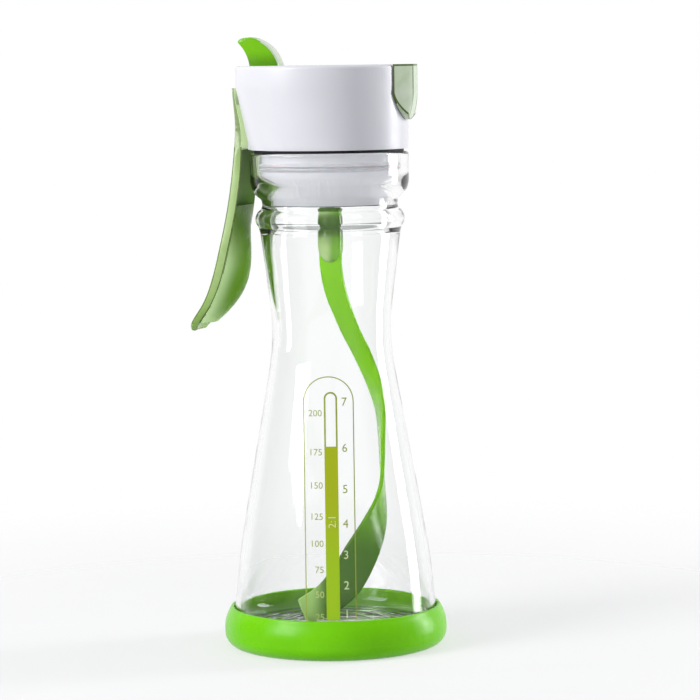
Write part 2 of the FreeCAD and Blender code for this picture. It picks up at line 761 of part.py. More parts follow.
def lid_plug():
    """Plug with the seat flange and gasket groove below, and the gear deck on top."""
    inner = f"({PLUG_RADIUS} - gasket_depth - plug_wall)"
    groove_top = f"({RIM_Z} - gasket_drop)"
    groove_low = f"({groove_top} - gasket_width)"
    turn_z = f"({RIM_Z} - mouth_depth + plug_gap)"
    throat_z = f"({COLLAR_FOOT_Z} + plug_gap)"
    deck_low = f"({CAP_BASE} - deck_thickness)"

    def draw(line):
        line.start("0", deck_low)
        line.line(inner, deck_low)
        line.line(inner, turn_z)
        line.line(f"{PLUG_THROAT} - plug_wall", throat_z)
        line.line(f"{PLUG_THROAT} - plug_wall", PLUG_BOTTOM)
        line.line(PLUG_THROAT, PLUG_BOTTOM)
        line.line(PLUG_THROAT, throat_z)
        line.line(PLUG_RADIUS, turn_z)
        line.line(PLUG_RADIUS, groove_low)
        line.line(f"{PLUG_RADIUS} - gasket_depth", groove_low)
        line.line(f"{PLUG_RADIUS} - gasket_depth", groove_top)
        line.line(PLUG_RADIUS, groove_top)
        line.line(PLUG_RADIUS, RIM_Z)
        line.line("collar_radius - seat_inset", RIM_Z)
        line.line("collar_radius - seat_inset", CAP_BASE)
        line.line(SPIGOT_RADIUS, CAP_BASE)
        line.line(SPIGOT_RADIUS, f"{CAP_BASE} + spigot_height")
        line.line(f"{SPIGOT_RADIUS} - plug_wall", f"{CAP_BASE} + spigot_height")
        line.line(f"{SPIGOT_RADIUS} - plug_wall", CAP_BASE)
        line.line("0", CAP_BASE)
        line.close()

    wall_end = "(bulkhead_place + bulkhead_thickness)"
    half = f"(sqrt({CAP_INSIDE}^2 - {wall_end}^2) - bulkhead_side)"
    parts = [turned("PlugTurned", draw)]
    parts.append(block("Bulkhead", ("bulkhead_place", f"-{half}", deck_low),
                       (wall_end, half, f"{CAP_TOP} - bulkhead_clear")))
    parts.append(cylinder("DeckBoss", f"{DECK_BORE} + boss_wall",
                          "deck_boss_height + deck_thickness", up=deck_low))
    for number, (across, aside) in enumerate(post_places()):
        parts.append(cylinder(f"Post{number}", "post_radius",
                              "gear_cover_rise + deck_thickness", across, aside, deck_low))
    whole = joined("PlugWhole", parts)
    tools = [cylinder("DeckBore", DECK_BORE, "deck_boss_height + 2 * deck_thickness",
                      up=f"{deck_low} - overrun")]
    tools.append(cylinder("AxleHole", "axle_radius + press_fit", "2 * deck_thickness",
                          f"-{IDLER_X}", "0", f"{deck_low} - overrun"))
    pour = block("PourBox", ("pour_near", "-pour_width / 2", f"{deck_low} - overrun"),
                 (inner, "pour_width / 2", f"{CAP_BASE} + overrun"))
    round_in = cylinder("PourRound", f"{inner} - press_fit", "2 * deck_thickness + 2 * overrun",
                        up=f"{deck_low} - overrun")
    tools.append(shared("PourOpening", pour, round_in))
    notch_half = "(trigger_lug_width / 2 + window_side + trigger_cheek + slot_side)"
    tools.append(block("SpigotNotch", (f"-{SPIGOT_RADIUS} - overrun", f"-{notch_half}", CAP_BASE),
                       (f"-{REAR_POST_X}", notch_half, f"{CAP_BASE} + 2 * spigot_height")))
    for number, (across, aside) in enumerate(post_places()):
        tools.append(cylinder(f"PostHole{number}", "screw_radius + press_fit",
                              "screw_length + overrun", across, aside,
                              f"{COVER_Z} - screw_length"))
    node(cut("LidPlug", whole, tools), "lid_plug")


def plug_floor():
    """Disc in the plug's lower end with the shaft boss, pour opening and vent."""
    low = f"({PLUG_BOTTOM} + floor_lift)"
    disc_radius = f"({PLUG_THROAT} - plug_wall - spigot_fit)"
    disc = cylinder("FloorDisc", disc_radius, "floor_plate", up=low)
    boss = cylinder("FloorBoss", "floor_boss_radius", "floor_boss_height", up=low)
    whole = joined("FloorWhole", [disc, boss])
    tools = [cylinder("FloorBore", DECK_BORE, "2 * floor_boss_height", up=f"{low} - overrun")]
    gland = "(shaft_radius + pin_fit + 2 * seal_wire)"
    tools.append(cylinder("FloorGland", gland, "4 * seal_wire",
                          up=f"{low} + floor_boss_height - 2 * seal_wire"))
    pour_near = "(floor_boss_radius + floor_pour_gap)"
    pour_radius = f"(({disc_radius} - floor_pour_edge - {pour_near}) / 2)"
    pour_x = f"({pour_near} + {pour_radius})"
    tools.append(cylinder("FloorPour", pour_radius, "4 * floor_plate", pour_x, "0",
                          f"{low} - overrun"))
    tools.append(cylinder("FloorVent", "vent_radius", "4 * floor_plate", f"-{pour_x}", "0",
                          f"{low} - overrun"))
    node(cut("PlugFloor", whole, tools), "plug_floor")
    seal = doc.addObject("Part::Torus", "ShaftSeal")
    seal.setExpression("Radius1", span("shaft_radius + pin_fit + seal_wire"))
    seal.setExpression("Radius2", span("seal_wire - press_fit"))
    placed(seal, "0", "0", f"{low} + floor_boss_height - seal_wire")
    node(seal, "shaft_seal")


def neck_gasket():
    """Ring seal filling the plug's groove, almost touching the glass."""
    def draw(line):
        root = f"({PLUG_RADIUS} - gasket_depth)"
        out = f"({MOUTH_RADIUS} - gasket_gap)"
        top = f"({RIM_Z} - gasket_drop)"
        low = f"({top} - gasket_width)"
        line.start(root, low)
        line.line(PLUG_RADIUS, low)
        line.line(out, f"{low} + gasket_width * {GASKET_LIP_SHARES[0]}")
        line.line(PLUG_RADIUS, f"{low} + gasket_width * {GASKET_LIP_SHARES[1]}")
        line.line(out, f"{low} + gasket_width * {GASKET_LIP_SHARES[2]}")
        line.line(PLUG_RADIUS, top)
        line.line(root, top)
        line.close()
    node(turned("NeckGasket", draw), "neck_gasket")


def bushing(name, length, low, flange_low):
    """A plain bearing with a flange at one end."""
    tube = cylinder(name + "Tube", f"{DECK_BORE} - press_fit", length, up=low)
    rim = cylinder(name + "Rim", f"{DECK_BORE} + bushing_flange_width", "bushing_flange",
                   up=flange_low)
    bore = cylinder(name + "Bore", "shaft_radius + pin_fit", f"{length} + 4 * overrun",
                    up=f"{low} - 2 * overrun")
    return cut(name, joined(name + "Whole", [tube, rim]), [bore])


def bushings():
    deck_low = f"({CAP_BASE} - deck_thickness)"
    top = f"({CAP_BASE} + deck_boss_height)"
    upper = bushing("UpperBushing", "deck_thickness + deck_boss_height", deck_low, top)
    node(upper, "upper_bushing")
    low = f"({PLUG_BOTTOM} + floor_lift)"
    lower = bushing("LowerBushing", "floor_boss_height - 2 * seal_wire", low,
                    f"{low} - bushing_flange")
    node(lower, "lower_bushing")


def gear_cover():
    """Plate over the gears, held on the four posts."""
    half = f"({REAR_POST_Y} + post_radius + gear_cover_side)"
    plate = block("CoverPlate", (f"-{REAR_POST_X} - gear_cover_back", f"-{half}", COVER_Z),
                  ("gear_cover_front", half, COVER_TOP))
    drill = "4 * gear_cover_thickness"
    low = f"({COVER_Z} - gear_cover_thickness)"
    tools = [cylinder("CoverShaftHole", "shaft_top_radius + pin_fit", drill, up=low)]
    tools.append(cylinder("CoverAxleHole", "axle_radius + press_fit", drill,
                          f"-{IDLER_X}", "0", low))
    for number, (across, aside) in enumerate(post_places()):
        tools.append(cylinder(f"CoverHole{number}", "screw_radius + press_fit", drill,
                              across, aside, low))
    node(cut("GearCover", plate, tools), "gear_cover")
    screws = []
    for number, (across, aside) in enumerate(post_places()):
        head = cylinder(f"ScrewHead{number}", "screw_head_radius", "screw_head_height",
                        across, aside, COVER_TOP)
        shank = cylinder(f"ScrewShank{number}", "screw_radius", "screw_length", across, aside,
                         f"{COVER_TOP} - screw_length")
        screw = joined(f"Screw{number}", [head, shank])
        slot = block(f"ScrewSlot{number}",
                     (f"{across} - screw_head_radius * 2", f"{aside} - screw_radius * {SCREW_SLOT_SHARE}",
                      f"{COVER_TOP} + screw_head_height / 2"),
                     (f"{across} + screw_head_radius * 2", f"{aside} + screw_radius * {SCREW_SLOT_SHARE}",
                      f"{COVER_TOP} + screw_head_height * 2"))
        screws.append(cut(f"ScrewCut{number}", screw, [slot]))
    group = doc.addObject("Part::Compound", "CoverScrews")
    group.Links = screws
    doc.recompute()
    node(group, "cover_screws")


def pins():
    """Hinge pins and the idler's axle."""
    node(cross_pin("TriggerPin", "trigger_pin_radius",
                   "trigger_lug_width + 2 * window_side + 2 * trigger_cheek",
                   f"-{TRIGGER_PIN_X}", TRIGGER_PIN_Z), "trigger_pin")
    node(cross_pin("LeverPin", "lever_pin_radius",
                   "lever_hub_width + 2 * slot_side + 2 * lever_cheek",
                   f"-{LEVER_PIN_X}", LEVER_PIN_Z), "lever_pin")
    low = f"({CAP_BASE} - deck_thickness)"
    node(cylinder("IdlerAxle", "axle_radius", f"{COVER_TOP} - {low}", f"-{IDLER_X}", "0", low),
         "idler_axle")


def toothed(name, teeth, thickness, across, up, turn):
    """An external involute gear, extruded upward."""
    builder = fcgear.FCWireBuilder()
    involute.CreateExternalGear(builder, size(MODULE), teeth, PRESSURE_DEGREES, True)
    wire = Part.Wire([curve.toShape() for curve in builder.wire])
    outline = plain(name + "_outline", wire)
    outline.Placement = FreeCAD.Placement(
        FreeCAD.Vector(size(across), 0, size(up)),
        FreeCAD.Rotation(FreeCAD.Vector(0, 0, 1), turn))
    gear = doc.addObject("Part::Extrusion", name)
    gear.Base = outline
    gear.Dir = FreeCAD.Vector(0, 0, 1)
    gear.Solid = True
    gear.setExpression("LengthFwd", span(thickness))
    doc.recompute()
    return gear


def gears():
    """Idler wheel with its pinion, and the small gear on the shaft."""
    pinion_z = f"({WHEEL_Z} + wheel_thickness)"
    wheel = toothed("IdlerWheel", WHEEL_TEETH, "wheel_thickness", f"-{IDLER_X}", WHEEL_Z, 0)
    pinion = toothed("IdlerPinion", PINION_TEETH, "pinion_height", f"-{IDLER_X}", pinion_z, 0)
    hub = cylinder("IdlerHub", "idler_hub_radius", "wheel_rise - idler_float", f"-{IDLER_X}", "0",
                   f"{CAP_BASE} + idler_float")
    whole = joined("IdlerWhole", [wheel, pinion, hub])
    bore = cylinder("IdlerBore", "axle_radius + pin_fit", "gear_cover_rise", f"-{IDLER_X}", "0",
                    CAP_BASE)
    node(cut("IdlerGear", whole, [bore]), "idler_gear")
    low = f"({WHEEL_Z} - blade_gear_overlap)"
    small = toothed("BladeGearTeeth", PINION_TEETH, "wheel_thickness + 2 * blade_gear_overlap",
                    "0", low, 180.0 / PINION_TEETH)
    hole = cylinder("BladeGearBore", "shaft_top_radius + press_fit", "2 * wheel_rise", up=CAP_BASE)
    node(cut("BladeGear", small, [hole]), "blade_gear")


def rack_points():
    """Outline of the rack in plan, teeth facing the idler, in its half-squeezed place."""
    module = size(MODULE)
    pitch = math.pi * module
    half_turn = math.radians(SQUEEZE_DEGREES / 2)
    arm = size("rack_rise")
    reach = size(f"{TRIGGER_PIN_X} - {IDLER_X}")
    middle = (reach - arm * math.tan(half_turn)) * math.cos(half_turn) - size(TRIGGER_PIN_X)
    tip = module * (PINION_TEETH / 2 - RACK_TIP_SHARE) + size("rack_shift")
    root = module * (PINION_TEETH / 2 + RACK_ROOT_SHARE) + size("rack_shift")
    slope = math.tan(math.radians(PRESSURE_DEGREES))
    on_pitch = module * PINION_TEETH / 2 + size("rack_shift")
    half = pitch / 4 - size("rack_thinning") / 2
    points = []
    first = middle - pitch * (RACK_TEETH // 2)
    for number in range(RACK_TEETH):
        place = first + pitch * number
        at_root = half + (root - on_pitch) * slope
        at_tip = half - (on_pitch - tip) * slope
        points += [(place - at_root, root), (place - at_tip, tip)]
        points += [(place + at_tip, tip), (place + at_root, root)]
    return points, root


def drive_rack():
    """Toothed bar with a block and a tongue that sits in the trigger's arm."""
    points, root = rack_points()
    back = root + size("rack_back")
    rear = -size(f"{TRIGGER_ARM_X} - rack_block_length / 2")
    front = points[-1][0] + size(MODULE) * 2
    plan = [(rear, root)] + points + [(front, root), (front, back), (rear, back)]
    low = size(f"{TRIGGER_PIN_Z} + rack_rise - rack_height / 2")
    corners = [FreeCAD.Vector(x, y, low) for x, y in plan]
    bar = Part.Face(Part.makePolygon(corners + corners[:1]))
    bar = bar.extrude(FreeCAD.Vector(0, 0, size("rack_height")))
    pivot = FreeCAD.Vector(-size(TRIGGER_PIN_X), 0, size(TRIGGER_PIN_Z))
    bar.rotate(pivot, FreeCAD.Vector(0, 1, 0), SQUEEZE_DEGREES / 2)
    teeth = plain("RackTeeth", bar)
    mid_z = f"({TRIGGER_PIN_Z} + rack_rise)"
    arm_half = "(trigger_lug_width / 2)"
    foot = block("RackBlock", (f"-{TRIGGER_ARM_X}", f"{arm_half} - rack_block_width",
                               f"{mid_z} - rack_block_height / 2"),
                 (f"-{TRIGGER_ARM_X} + rack_block_length", arm_half,
                  f"{mid_z} + rack_block_height / 2"))
    keep = block("RackKeep", (f"-{TRIGGER_ARM_X}", "-trigger_lug_width", f"{mid_z} - rack_rise"),
                 ("overrun", "2 * trigger_lug_width", f"{mid_z} + rack_rise"))
    trimmed = shared("RackTrimmed", teeth, keep)
    tongue = block("RackTongue", (f"-{TRIGGER_ARM_X} - rack_tongue", "-rack_tongue",
                                  f"{mid_z} - rack_tongue"),
                   (f"-{TRIGGER_ARM_X} + rack_tongue", "rack_tongue", f"{mid_z} + rack_tongue"))
    node(joined("DriveRack", [trimmed, foot, tongue]), "drive_rack")


def band_wire(up, inner, thick, half, curve):
    """A curved strip's cross-section: two arcs about one centre and two straight ends."""
    centre = curve - inner
    outer_curve = curve + thick
    spots = []
    for radius in (curve, outer_curve):
        along = math.sqrt(radius * radius - half * half)
        spots.append([FreeCAD.Vector(centre - along, -half, up),
                      FreeCAD.Vector(centre - radius, 0, up),
                      FreeCAD.Vector(centre - along, half, up)])
    near, far = spots
    edges = [Part.Arc(*near).toShape(), Part.LineSegment(near[2], far[2]).toShape(),
             Part.Arc(far[2], far[1], far[0]).toShape(),
             Part.LineSegment(far[0], near[0]).toShape()]
    return Part.Wire(edges)


def trigger_stations():
    """Height, inner reach, thickness and half width of the trigger, from top to tip."""
    base = size(CAP_BASE)
    thick = size("trigger_thickness")
    wide = size("trigger_width") / 2
    top = size("cap_height - trigger_top_inset")
    off = size("trigger_stand_off")
    rows = []
    for share, width_share, off_share, rise in zip(STRIP_SHARES, STRIP_WIDTH_SHARES,
                                                   STRIP_OFF_SHARES, (top, top / 2)):
        inner = cap_rear(rise) + size("trigger_gap") + off * off_share
        rows.append((base + rise, inner, thick * share, wide * width_share))
    foot = cap_rear(0) + off
    last = len(TAIL_SHARES) - 1
    for number, (drop, reach, width_share) in enumerate(TAIL_SHARES):
        share = STRIP_SHARES[-1] if number == 0 else 1.0
        share = TIP_THICKNESS_SHARE if number == last else share
        rows.append((base - size("trigger_drop") * drop, foot + size("trigger_reach") * reach,
                     thick * share, wide * width_share))
    return rows


def trigger_shell():
    """Curved outer strip flaring into the grip, with the hinge lug and the rack's arm."""
    curve = size("trigger_curve")
    wires = [band_wire(up, inner, thick, half, curve)
             for up, inner, thick, half in trigger_stations()]
    strip = plain("TriggerStrip", Part.makeLoft(wires, True, False))
    window_top = f"({TRIGGER_PIN_Z} + rack_rise + rack_block_height / 2 + slot_side)"
    low = f"({TRIGGER_PIN_Z} - trigger_lug_radius)"
    lug_front = f"(trigger_lug_radius - {TRIGGER_PIN_X})"
    lug_top = f"({TRIGGER_PIN_Z} + trigger_lug_radius)"
    lean = "((cap_flare + cap_set_back) / cap_lean_height)"
    low_rear = f"({CAP_FOOT_RADIUS} + trigger_stand_off + trigger_thickness * {LUG_LOW_SHARE})"
    top_rise = "(trigger_pin_rise + rack_rise + rack_block_height / 2 + slot_side)"
    top_rear = (f"({CAP_FOOT_RADIUS} + {lean} * {top_rise} + trigger_gap * {LUG_TOP_SHARE}"
                f" + trigger_stand_off * {STRIP_OFF_SHARES[1]})")

    def draw(line):
        line.start(f"-{low_rear}", low)
        line.line(f"-{TRIGGER_PIN_X}", low)
        line.arc(f"trigger_lug_radius * {1 - ROUND_SHARE} - {TRIGGER_PIN_X}",
                 f"{TRIGGER_PIN_Z} - trigger_lug_radius * {1 - ROUND_SHARE}", lug_front,
                 TRIGGER_PIN_Z)
        line.line(lug_front, f"{TRIGGER_PIN_Z} + trigger_lug_radius * {LUG_FRONT_SHARE}")
        line.line(f"-{TRIGGER_ARM_X}", lug_top)
        line.line(f"-{TRIGGER_ARM_X}", window_top)
        line.line(f"-{top_rear}", window_top)
        line.close()

    lug = padded("TriggerLug", "XZ_Plane", draw, "trigger_lug_width", "0", True)
    whole = joined("TriggerWhole", [strip, lug])
    pin_x = f"(0 - {TRIGGER_PIN_X})"
    mid_z = f"({TRIGGER_PIN_Z} + rack_rise)"
    pocket = "(rack_tongue + press_fit)"
    tools = [
        cross_pin("LugHole", "trigger_pin_radius + pin_fit", "2 * trigger_lug_width", pin_x,
                  TRIGGER_PIN_Z),
        cross_pin("LugPocket", "spring_pocket_radius", "spring_pocket", pin_x, TRIGGER_PIN_Z),
        block("LegSlot", (f"{pin_x} - spring_pocket_radius", "-spring_pocket / 2", TRIGGER_PIN_Z),
              (f"{pin_x} - spring_pocket_radius / 2", "spring_pocket / 2",
               f"{TRIGGER_PIN_Z} + spring_leg + trigger_spring_wire")),
        block("TongueSlot", (f"-{TRIGGER_ARM_X} - {pocket}", f"-{pocket}", f"{mid_z} - {pocket}"),
              (f"-{TRIGGER_ARM_X} + overrun", pocket, f"{mid_z} + {pocket}")),
    ]
    node(cut("TriggerShell", whole, tools), "trigger_shell")


def lens_wire(up, inner, half, curve, bulge, edge):
    """Cross-section of the inner cover: the shell's inner arc closed by a bulging arc."""
    centre = curve - inner
    along = math.sqrt(curve * curve - half * half)
    back = [FreeCAD.Vector(centre - along, -half, up), FreeCAD.Vector(centre - curve, 0, up),
            FreeCAD.Vector(centre - along, half, up)]
    near = centre - along + edge
    front = [FreeCAD.Vector(near, -half, up), FreeCAD.Vector(near + bulge, 0, up),
             FreeCAD.Vector(near, half, up)]
    edges = [Part.Arc(*back).toShape(), Part.LineSegment(back[2], front[2]).toShape(),
             Part.Arc(front[2], front[1], front[0]).toShape(),
             Part.LineSegment(front[0], back[0]).toShape()]
    return Part.Wire(edges)


def trigger_cover():
    """Inner cover of the grip, seated in the shell's hollow side."""
    curve = size("trigger_curve")
    rows = trigger_stations()
    start = size(f"{CAP_BASE} - cover_drop")
    picked = [row for row in rows[2:-1] if row[0] < start]
    above = [row for row in rows if row[0] >= start][-1]
    share = (above[0] - start) / (above[0] - picked[0][0])
    first = tuple(a + (b - a) * share for a, b in zip(above, picked[0]))
    inset = size("cover_inset")
    strip = doc.getObject("TriggerStrip").Shape
    last = picked[-1][0]
    wires = []
    for up, inner, thick, half in [first] + picked:
        along = ((start - up) / (start - last)) ** COVER_SWELL_POWER
        swell = math.sin(math.pi * COVER_SWELL_SHARE * along)
        share = COVER_LEAST_SHARE + (1 - COVER_LEAST_SHARE) * swell
        bury = thick * COVER_BURY_SHARE
        wires.append(lens_wire(up, inner + bury, half - inset, curve, size("cover_bulge") * share,
                               size("cover_edge") + bury))
    form = Part.makeLoft(wires, True, False)
    node(plain("TriggerCover", form.cut(strip)), "trigger_cover")


def torsion_spring(name, label, wire_name, leg_name, radius, up, across, about):
    """Coil about a hinge pin with two straight legs, turned over about the given axis."""
    wire = size(wire_name)
    pitch = wire * COIL_PITCH_SHARE
    length = pitch * COIL_TURNS
    coil = Part.makeHelix(pitch, length, radius).Edges[0]
    low = coil.valueAt(coil.FirstParameter)
    low_way = coil.tangentAt(coil.FirstParameter)
    high = coil.valueAt(coil.LastParameter)
    high_way = coil.tangentAt(coil.LastParameter)
    start = low - low_way * size("spring_leg")
    end = high + high_way * size(leg_name)
    path = Part.Wire([Part.LineSegment(start, low).toShape(), coil,
                      Part.LineSegment(high, end).toShape()])
    ring = Part.Wire(Part.Circle(start, low_way, wire / 2).toShape())
    shape = path.makePipeShell([ring], True, False)
    shape.translate(FreeCAD.Vector(0, 0, -length / 2))
    shape.rotate(FreeCAD.Vector(), FreeCAD.Vector(1, 0, 0), 90)
    shape.rotate(FreeCAD.Vector(), about, 180)
    shape.translate(FreeCAD.Vector(size(across), 0, size(up)))
    node(plain(name, shape), label)


def springs():
    trigger_mean = size("trigger_pin_radius + trigger_spring_wire")
    torsion_spring("TriggerSpring", "trigger_spring", "trigger_spring_wire", "spring_leg",
                   trigger_mean, TRIGGER_PIN_Z, f"-{TRIGGER_PIN_X}", FreeCAD.Vector(0, 1, 0))
    lever_mean = size("lever_pin_radius + lever_spring_wire")
    torsion_spring("LeverSpring", "lever_spring", "lever_spring_wire", "lever_spring_tail",
                   lever_mean, LEVER_PIN_Z, f"-{LEVER_PIN_X}", FreeCAD.Vector(1, 0, 0))


def drive_shaft():
    """Stepped shaft with a clip groove and a hexagonal lower end."""
    hex_top = f"({PLUG_BOTTOM} - bushing_flange)"
    seat = f"({WHEEL_Z} - blade_gear_overlap)"
    clip_low = f"({CAP_BASE} + deck_boss_height + bushing_flange + clip_float)"

    def draw(line):
        groove = "(shaft_radius - clip_groove)"
        groove_top = f"({clip_low} + clip_thickness)"
        line.start("0", hex_top)
        line.line("shaft_radius", hex_top)
        line.line("shaft_radius", clip_low)
        line.line(groove, clip_low)
        line.line(groove, groove_top)
        line.line("shaft_radius", groove_top)
        line.line("shaft_radius", seat)
        line.line("shaft_top_radius", seat)
        line.line("shaft_top_radius", COVER_TOP)
        line.line("0", COVER_TOP)
        line.close()

    rod = turned("ShaftRod", draw)
    hexagon = doc.addObject("Part::Prism", "ShaftHex")
    hexagon.Polygon = 6
    hexagon.setExpression("Circumradius", span("hex_radius"))
    hexagon.setExpression("Height", span("hex_length + bushing_flange"))
    placed(hexagon, "0", "0", f"{hex_top} - hex_length")
    node(joined("DriveShaft", [rod, hexagon]), "drive_shaft")
    ring = cylinder("ClipRing", "clip_radius", "clip_thickness", up=clip_low)
    hole = cylinder("ClipHole", "shaft_radius - clip_groove + press_fit", "4 * clip_thickness",
                    up=f"{clip_low} - overrun")
    mouth_half = f"(shaft_radius - clip_groove) * {CLIP_MOUTH_SHARE}"
    mouth = block("ClipMouth", ("0", f"-{mouth_half}", f"{clip_low} - overrun"),
                  ("2 * clip_radius", mouth_half, f"{clip_low} + overrun + clip_thickness"))
    node(cut("ShaftClip", ring, [hole, mouth]), "shaft_clip")


def blade_stations():
    """Centre, heading and width of the ribbon down its path."""
    top = size(HUB_FOOT_Z)
    fall = top - size(f"{FLOOR_Z} + blade_floor_gap + blade_width * {BLADE_TAIL_SHARE}")
    limit = size(f"{WAIST_RADIUS} - glass_wall - blade_gap - blade_thickness / 2")
    spread = size("blade_width") * BLADE_SPREAD_SHARE
    reach = math.sqrt(limit * limit - spread * spread)
    narrow = size("blade_top_width")
    extra = size("blade_width") - narrow
    rows = []
    for (drop, out, width_share), turn in zip(BLADE_SHARES, BLADE_TURNS):
        angle = math.radians(BLADE_HEADING - turn)
        centre = FreeCAD.Vector(reach * out * math.cos(angle), reach * out * math.sin(angle),
                                top - fall * drop)
        rows.append((centre, angle, narrow + extra * width_share))
    return rows


def ribbon():
    """The spiral: flat cross-sections that face away from the axis, lofted down the path."""
    rows = blade_stations()
    thick = size("blade_thickness")
    wires = []
    for number, (centre, angle, width) in enumerate(rows):
        before = rows[max(0, number - 1)][0]
        after = rows[min(len(rows) - 1, number + 1)][0]
        way = (after - before).normalize()
        out = FreeCAD.Vector(math.cos(angle), math.sin(angle), 0)
        out = (out - way * out.dot(way)).normalize()
        across = way.cross(out)
        side = across * (width / 2)
        deep = out * (thick / 2)
        corners = [centre - side - deep, centre + side - deep, centre + side + deep,
                   centre - side + deep]
        wires.append(Part.makePolygon(corners + corners[:1]))
    return plain("BladeRibbon", Part.makeLoft(wires, True, False))


def mixing_blade():
    """Stepped hub with a hexagonal socket, and the spiral ribbon below it."""
    step_z = f"({HUB_TOP_Z} - hub_step_height)"
    parts = [cylinder("HubTube", "hub_radius", "hub_length - hub_step_height", up=HUB_FOOT_Z)]
    parts.append(cylinder("HubStep", "hub_radius - hub_step", "hub_step_height", up=step_z))
    parts.append(ribbon())
    whole = joined("BladeWhole", parts)
    socket = doc.addObject("Part::Prism", "HubSocket")
    socket.Polygon = 6
    socket.setExpression("Circumradius", span("hex_radius + press_fit"))
    socket.setExpression("Height", span("2 * hex_length"))
    placed(socket, "0", "0", f"{PLUG_BOTTOM} - bushing_flange - hex_length")
    node(cut("MixingBlade", whole, [socket]), "mixing_blade")


def fin_outline(line):
    """Thumb fin from the side: hollow rear, rounded front, tip leaning over the rear."""
    deep = f"({FIN_TIP} - {FIN_FRONT})"
    hollow = f"({FIN_TIP} - {FIN_REAR})"
    line.start(f"-{FIN_REAR}", f"{CAP_TOP} - arm_thickness")
    line.line(f"-{FIN_FRONT}", f"{CAP_TOP} - arm_thickness")
    line.line(f"-{FIN_FRONT}", CAP_TOP)
    line.arc(f"-{FIN_FRONT} - {deep} * {FIN_ROUND_SHARES[0]}",
             f"{CAP_TOP} + fin_height * {FIN_ROUND_SHARES[1]}",
             f"-{FIN_FRONT} - {deep} * {FIN_CREST_SHARE}", f"{CAP_TOP} + fin_height")
    line.line(f"-{FIN_TIP} + {deep} * {FIN_TIP_SHARES[0]}",
              f"{CAP_TOP} + fin_height * {FIN_TIP_SHARES[1]}")
    line.line(f"-{FIN_TIP}", f"{CAP_TOP} + fin_height * {FIN_TIP_SHARES[2]}")
    line.arc(f"-{FIN_REAR} - {hollow} * {FIN_HOLLOW_SHARES[0]}",
             f"{CAP_TOP} + fin_height * {FIN_HOLLOW_SHARES[1]}", f"-{FIN_REAR}", CAP_TOP)
    line.close()


def beak_plan(line):
    """The flap from above: a blunt prow."""
    wide = "(beak_width / 2)"
    nose = "(beak_nose_width / 2)"
    rear = f"({CAP_HEAD} * {BEAK_REAR_SHARE})"
    shoulder = f"({CAP_FRONT} - beak_width * {BEAK_SHOULDER_SHARE})"
    line.start(rear, f"-{wide}")
    line.line(shoulder, f"-{wide}")
    line.line(BEAK_NOSE, f"-{nose}")
    line.line(BEAK_NOSE, nose)
    line.line(shoulder, wide)
    line.line(rear, wide)
    line.close()


def beak_shield(line):
    """The flap from the front: straight sides drawn in to a narrow foot."""
    wide = "(beak_width / 2)"
    tip = "(beak_tip_width / 2)"
    low = f"({CAP_TOP} - beak_height)"
    knee = f"({CAP_TOP} - beak_height * {BEAK_KNEE_SHARE})"
    side = f"({wide} * {BEAK_SIDE_SHARES[0]})"
    side_z = f"({CAP_TOP} - beak_height * {BEAK_SIDE_SHARES[1]})"
    line.start(f"-{tip}", low)
    line.line(tip, low)
    line.arc(side, side_z, wide, knee)
    line.line(wide, CAP_TOP)
    line.line(f"-{wide}", CAP_TOP)
    line.line(f"-{wide}", knee)
    line.arc(f"-{side}", side_z, f"-{tip}", low)
    line.close()


def beak_side(line):
    """The flap from the side: upright nose that curves in to a thin foot."""
    low = f"({CAP_TOP} - beak_height)"
    knee = f"(beak_height * (1 - {BEAK_NOSE_SHARE}))"
    foot = f"({CAP_FRONT} + beak_gap + beak_tip_depth)"
    line.start("overrun", low)
    line.line(foot, low)
    line.arc(f"{foot} + ({BEAK_NOSE} - {foot}) * {BEAK_CURVE_SHARES[0]}",
             f"{low} + {knee} * {BEAK_CURVE_SHARES[1]}", BEAK_NOSE, f"{low} + {knee}")
    line.line(BEAK_NOSE, CAP_TOP)
    line.line("overrun", CAP_TOP)
    line.close()


